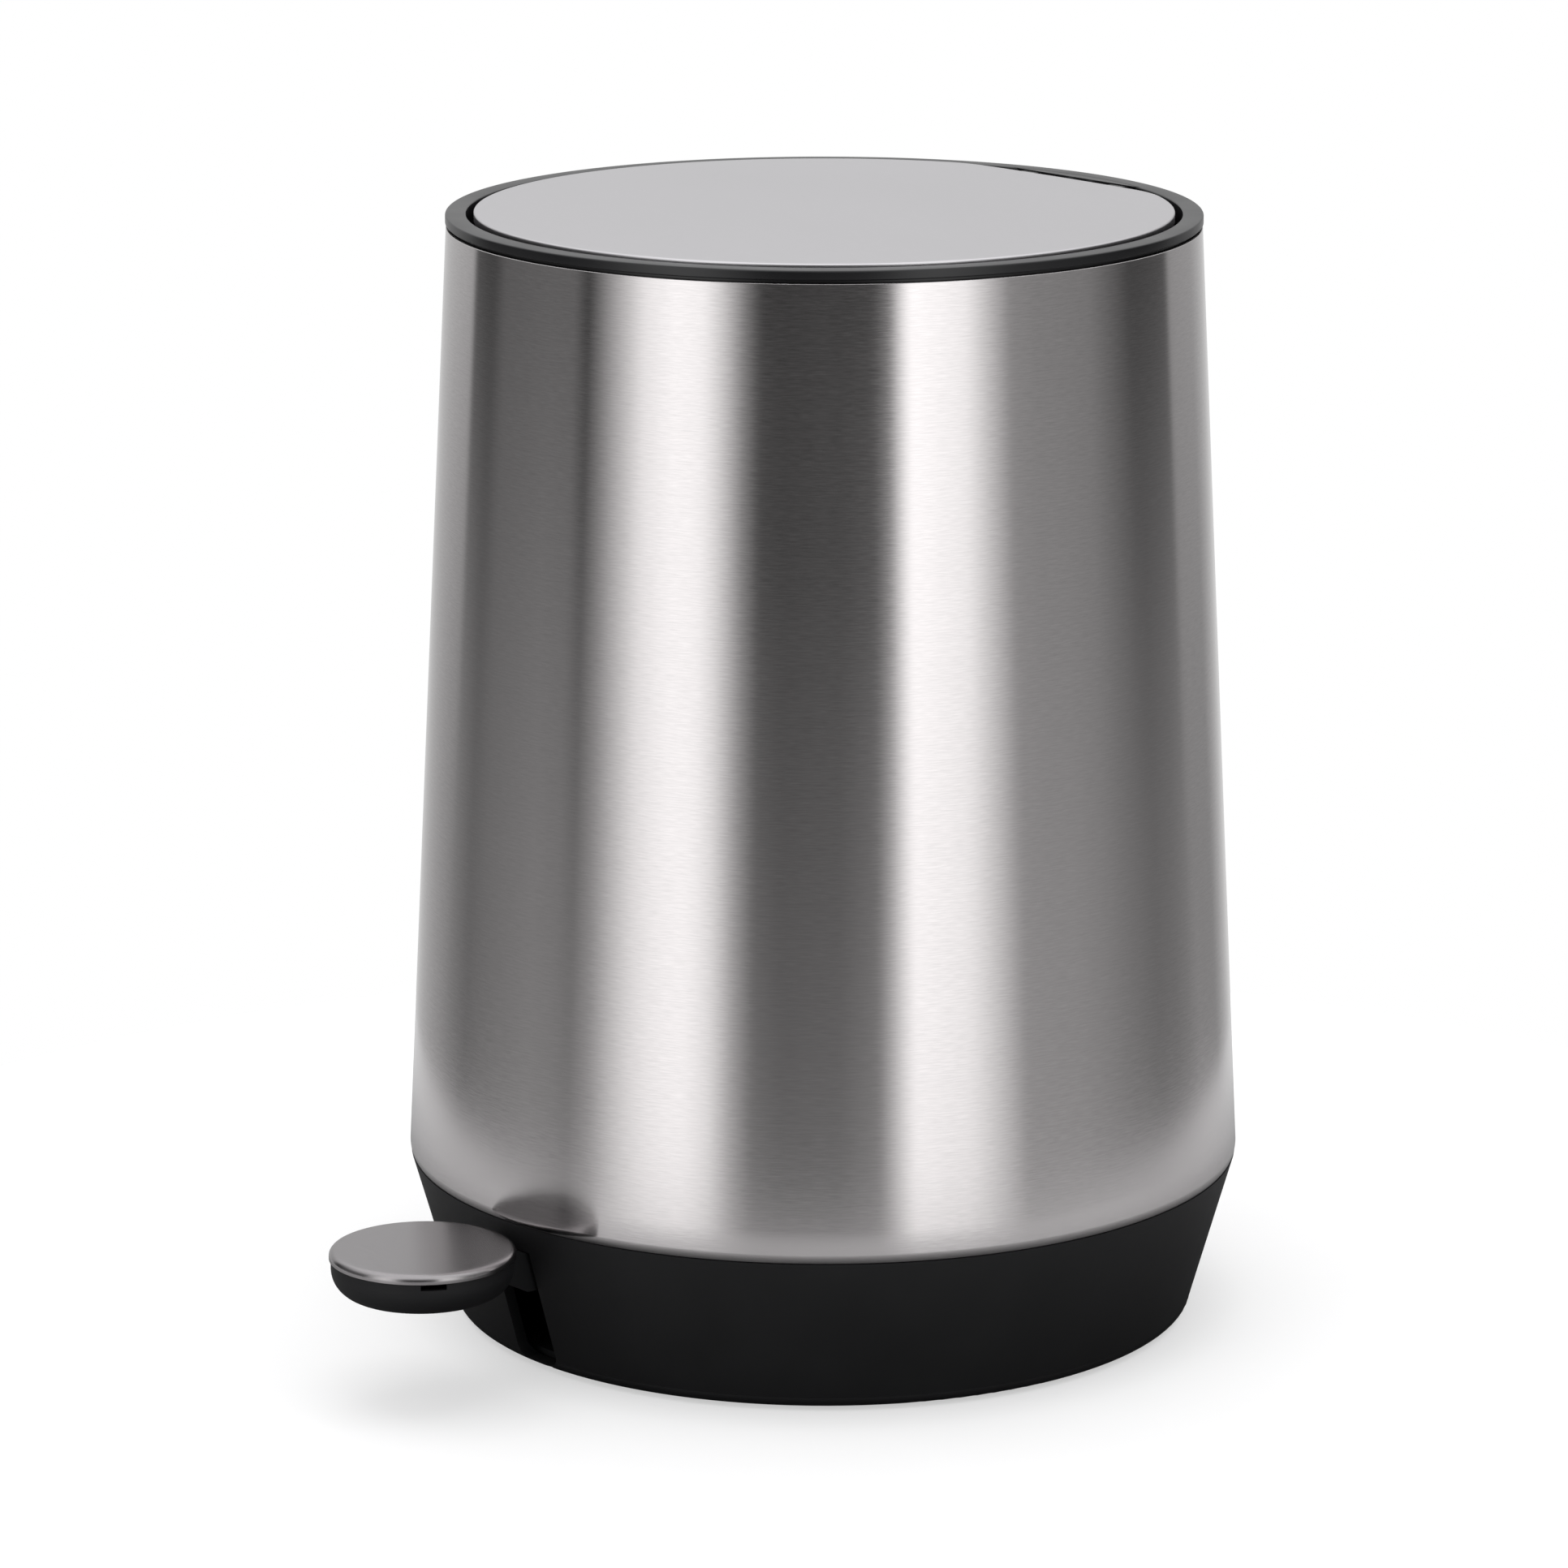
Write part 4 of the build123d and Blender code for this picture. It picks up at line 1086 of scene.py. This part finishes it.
    def mixed(self, tree: bpy.types.NodeTree, height: bpy.types.NodeSocket, span: tuple[float, float],
              low: bpy.types.NodeSocket, high: bpy.types.NodeSocket | None) -> bpy.types.NodeSocket:
        """Goes smoothly from one colour to another as the direction rises through a span.

        Args:
            tree: The world's node tree.
            height: Z of the direction, -1 to 1.
            span: Where the change begins and ends.
            low: Colour below the span.
            high: Colour above the span, or None for the overhead tone.

        Returns:
            The mixed colour.
        """
        reach = tree.nodes.new("ShaderNodeMapRange")
        reach.interpolation_type = "SMOOTHSTEP"
        reach.inputs["From Min"].default_value, reach.inputs["From Max"].default_value = span
        tree.links.new(height, reach.inputs["Value"])
        mix = tree.nodes.new("ShaderNodeMix")
        mix.data_type = "RGBA"
        tree.links.new(reach.outputs["Result"], mix.inputs[MIX_AMOUNT])
        tree.links.new(low, mix.inputs[MIX_FIRST])
        mix.inputs[MIX_SECOND].default_value = (*self.overhead, 1.0)
        if high is not None:
            tree.links.new(high, mix.inputs[MIX_SECOND])
        return mix.outputs[MIX_RESULT]

    def room(self) -> None:
        """World light: soft boxes by compass direction, brighter overhead, plain white to the camera."""
        world = bpy.data.worlds.new("studio")
        world.use_nodes = True
        tree = world.node_tree
        tree.nodes.clear()
        new, join = tree.nodes.new, tree.links.new
        seen = new("ShaderNodeTexCoord")
        split = new("ShaderNodeSeparateXYZ")
        join(seen.outputs["Generated"], split.inputs["Vector"])
        compass = new("ShaderNodeMath")
        compass.operation = "ARCTAN2"
        join(split.outputs["Y"], compass.inputs[0])
        join(split.outputs["X"], compass.inputs[1])
        # The camera stands at view_azimuth - 90 degrees; that direction becomes one half of the ramp.
        part = new("ShaderNodeMath")
        part.operation = "MULTIPLY_ADD"
        part.inputs[1].default_value = 1 / (2 * math.pi)
        part.inputs[2].default_value = 0.5 + (90.0 - self.view_azimuth) / 360.0
        join(compass.outputs[0], part.inputs[0])
        wrap = new("ShaderNodeMath")
        wrap.operation = "FRACT"
        join(part.outputs[0], wrap.inputs[0])
        top = max(strength for _, strength in self.level_boxes)
        level = self.ramp(tree, wrap.outputs[0], self.level_boxes, top)
        low = self.ramp(tree, wrap.outputs[0], self.low_boxes, top)
        height = split.outputs["Z"]
        room = self.mixed(tree, height, self.low_span, low, level)
        room = self.mixed(tree, height, self.high_span, room, None)
        around = new("ShaderNodeBackground")
        around.inputs["Strength"].default_value = top
        join(room, around.inputs["Color"])
        plain = new("ShaderNodeBackground")
        plain.inputs["Color"].default_value = (1.0, 1.0, 1.0, 1.0)
        plain.inputs["Strength"].default_value = 1.0
        path = new("ShaderNodeLightPath")
        choose = new("ShaderNodeMixShader")
        join(path.outputs["Is Camera Ray"], choose.inputs["Fac"])
        join(around.outputs[0], choose.inputs[1])
        join(plain.outputs[0], choose.inputs[2])
        out = new("ShaderNodeOutputWorld")
        join(choose.outputs[0], out.inputs["Surface"])
        bpy.context.scene.world = world

    def lamp(self) -> None:
        """Hangs a square soft box over the can, which lights matte surfaces only."""
        data = bpy.data.lights.new("overhead", "AREA")
        data.shape, data.size, data.energy = "SQUARE", self.lamp_size, self.lamp_power
        lamp = bpy.data.objects.new("overhead", data)
        lamp.visible_glossy = False
        lamp.location = (0.0, 0.0, self.lamp_height)
        bpy.context.scene.collection.objects.link(lamp)

    def build(self) -> None:
        """Sets up the whole studio."""
        self.camera()
        self.floor()
        self.room()
        self.lamp()
        view = bpy.context.scene.view_settings
        view.view_transform = "Standard"
        view.look = "None"


def main() -> None:
    """Builds every sub-assembly in order and reports it."""
    logging.basicConfig(level=logging.INFO, format="%(name)s: %(message)s")
    Studio().build()
    for part in (SteelTube(), TopRim(), LidDisc(), PedalDisc()):
        made = part.build()
        log.info("%s has %d faces", made.name, len(made.data.polygons))
    done = FrameParts().build()
    log.info("%d frame nodes dressed: %s", len(done), ", ".join(done))


if __name__ == "__main__":
    main()
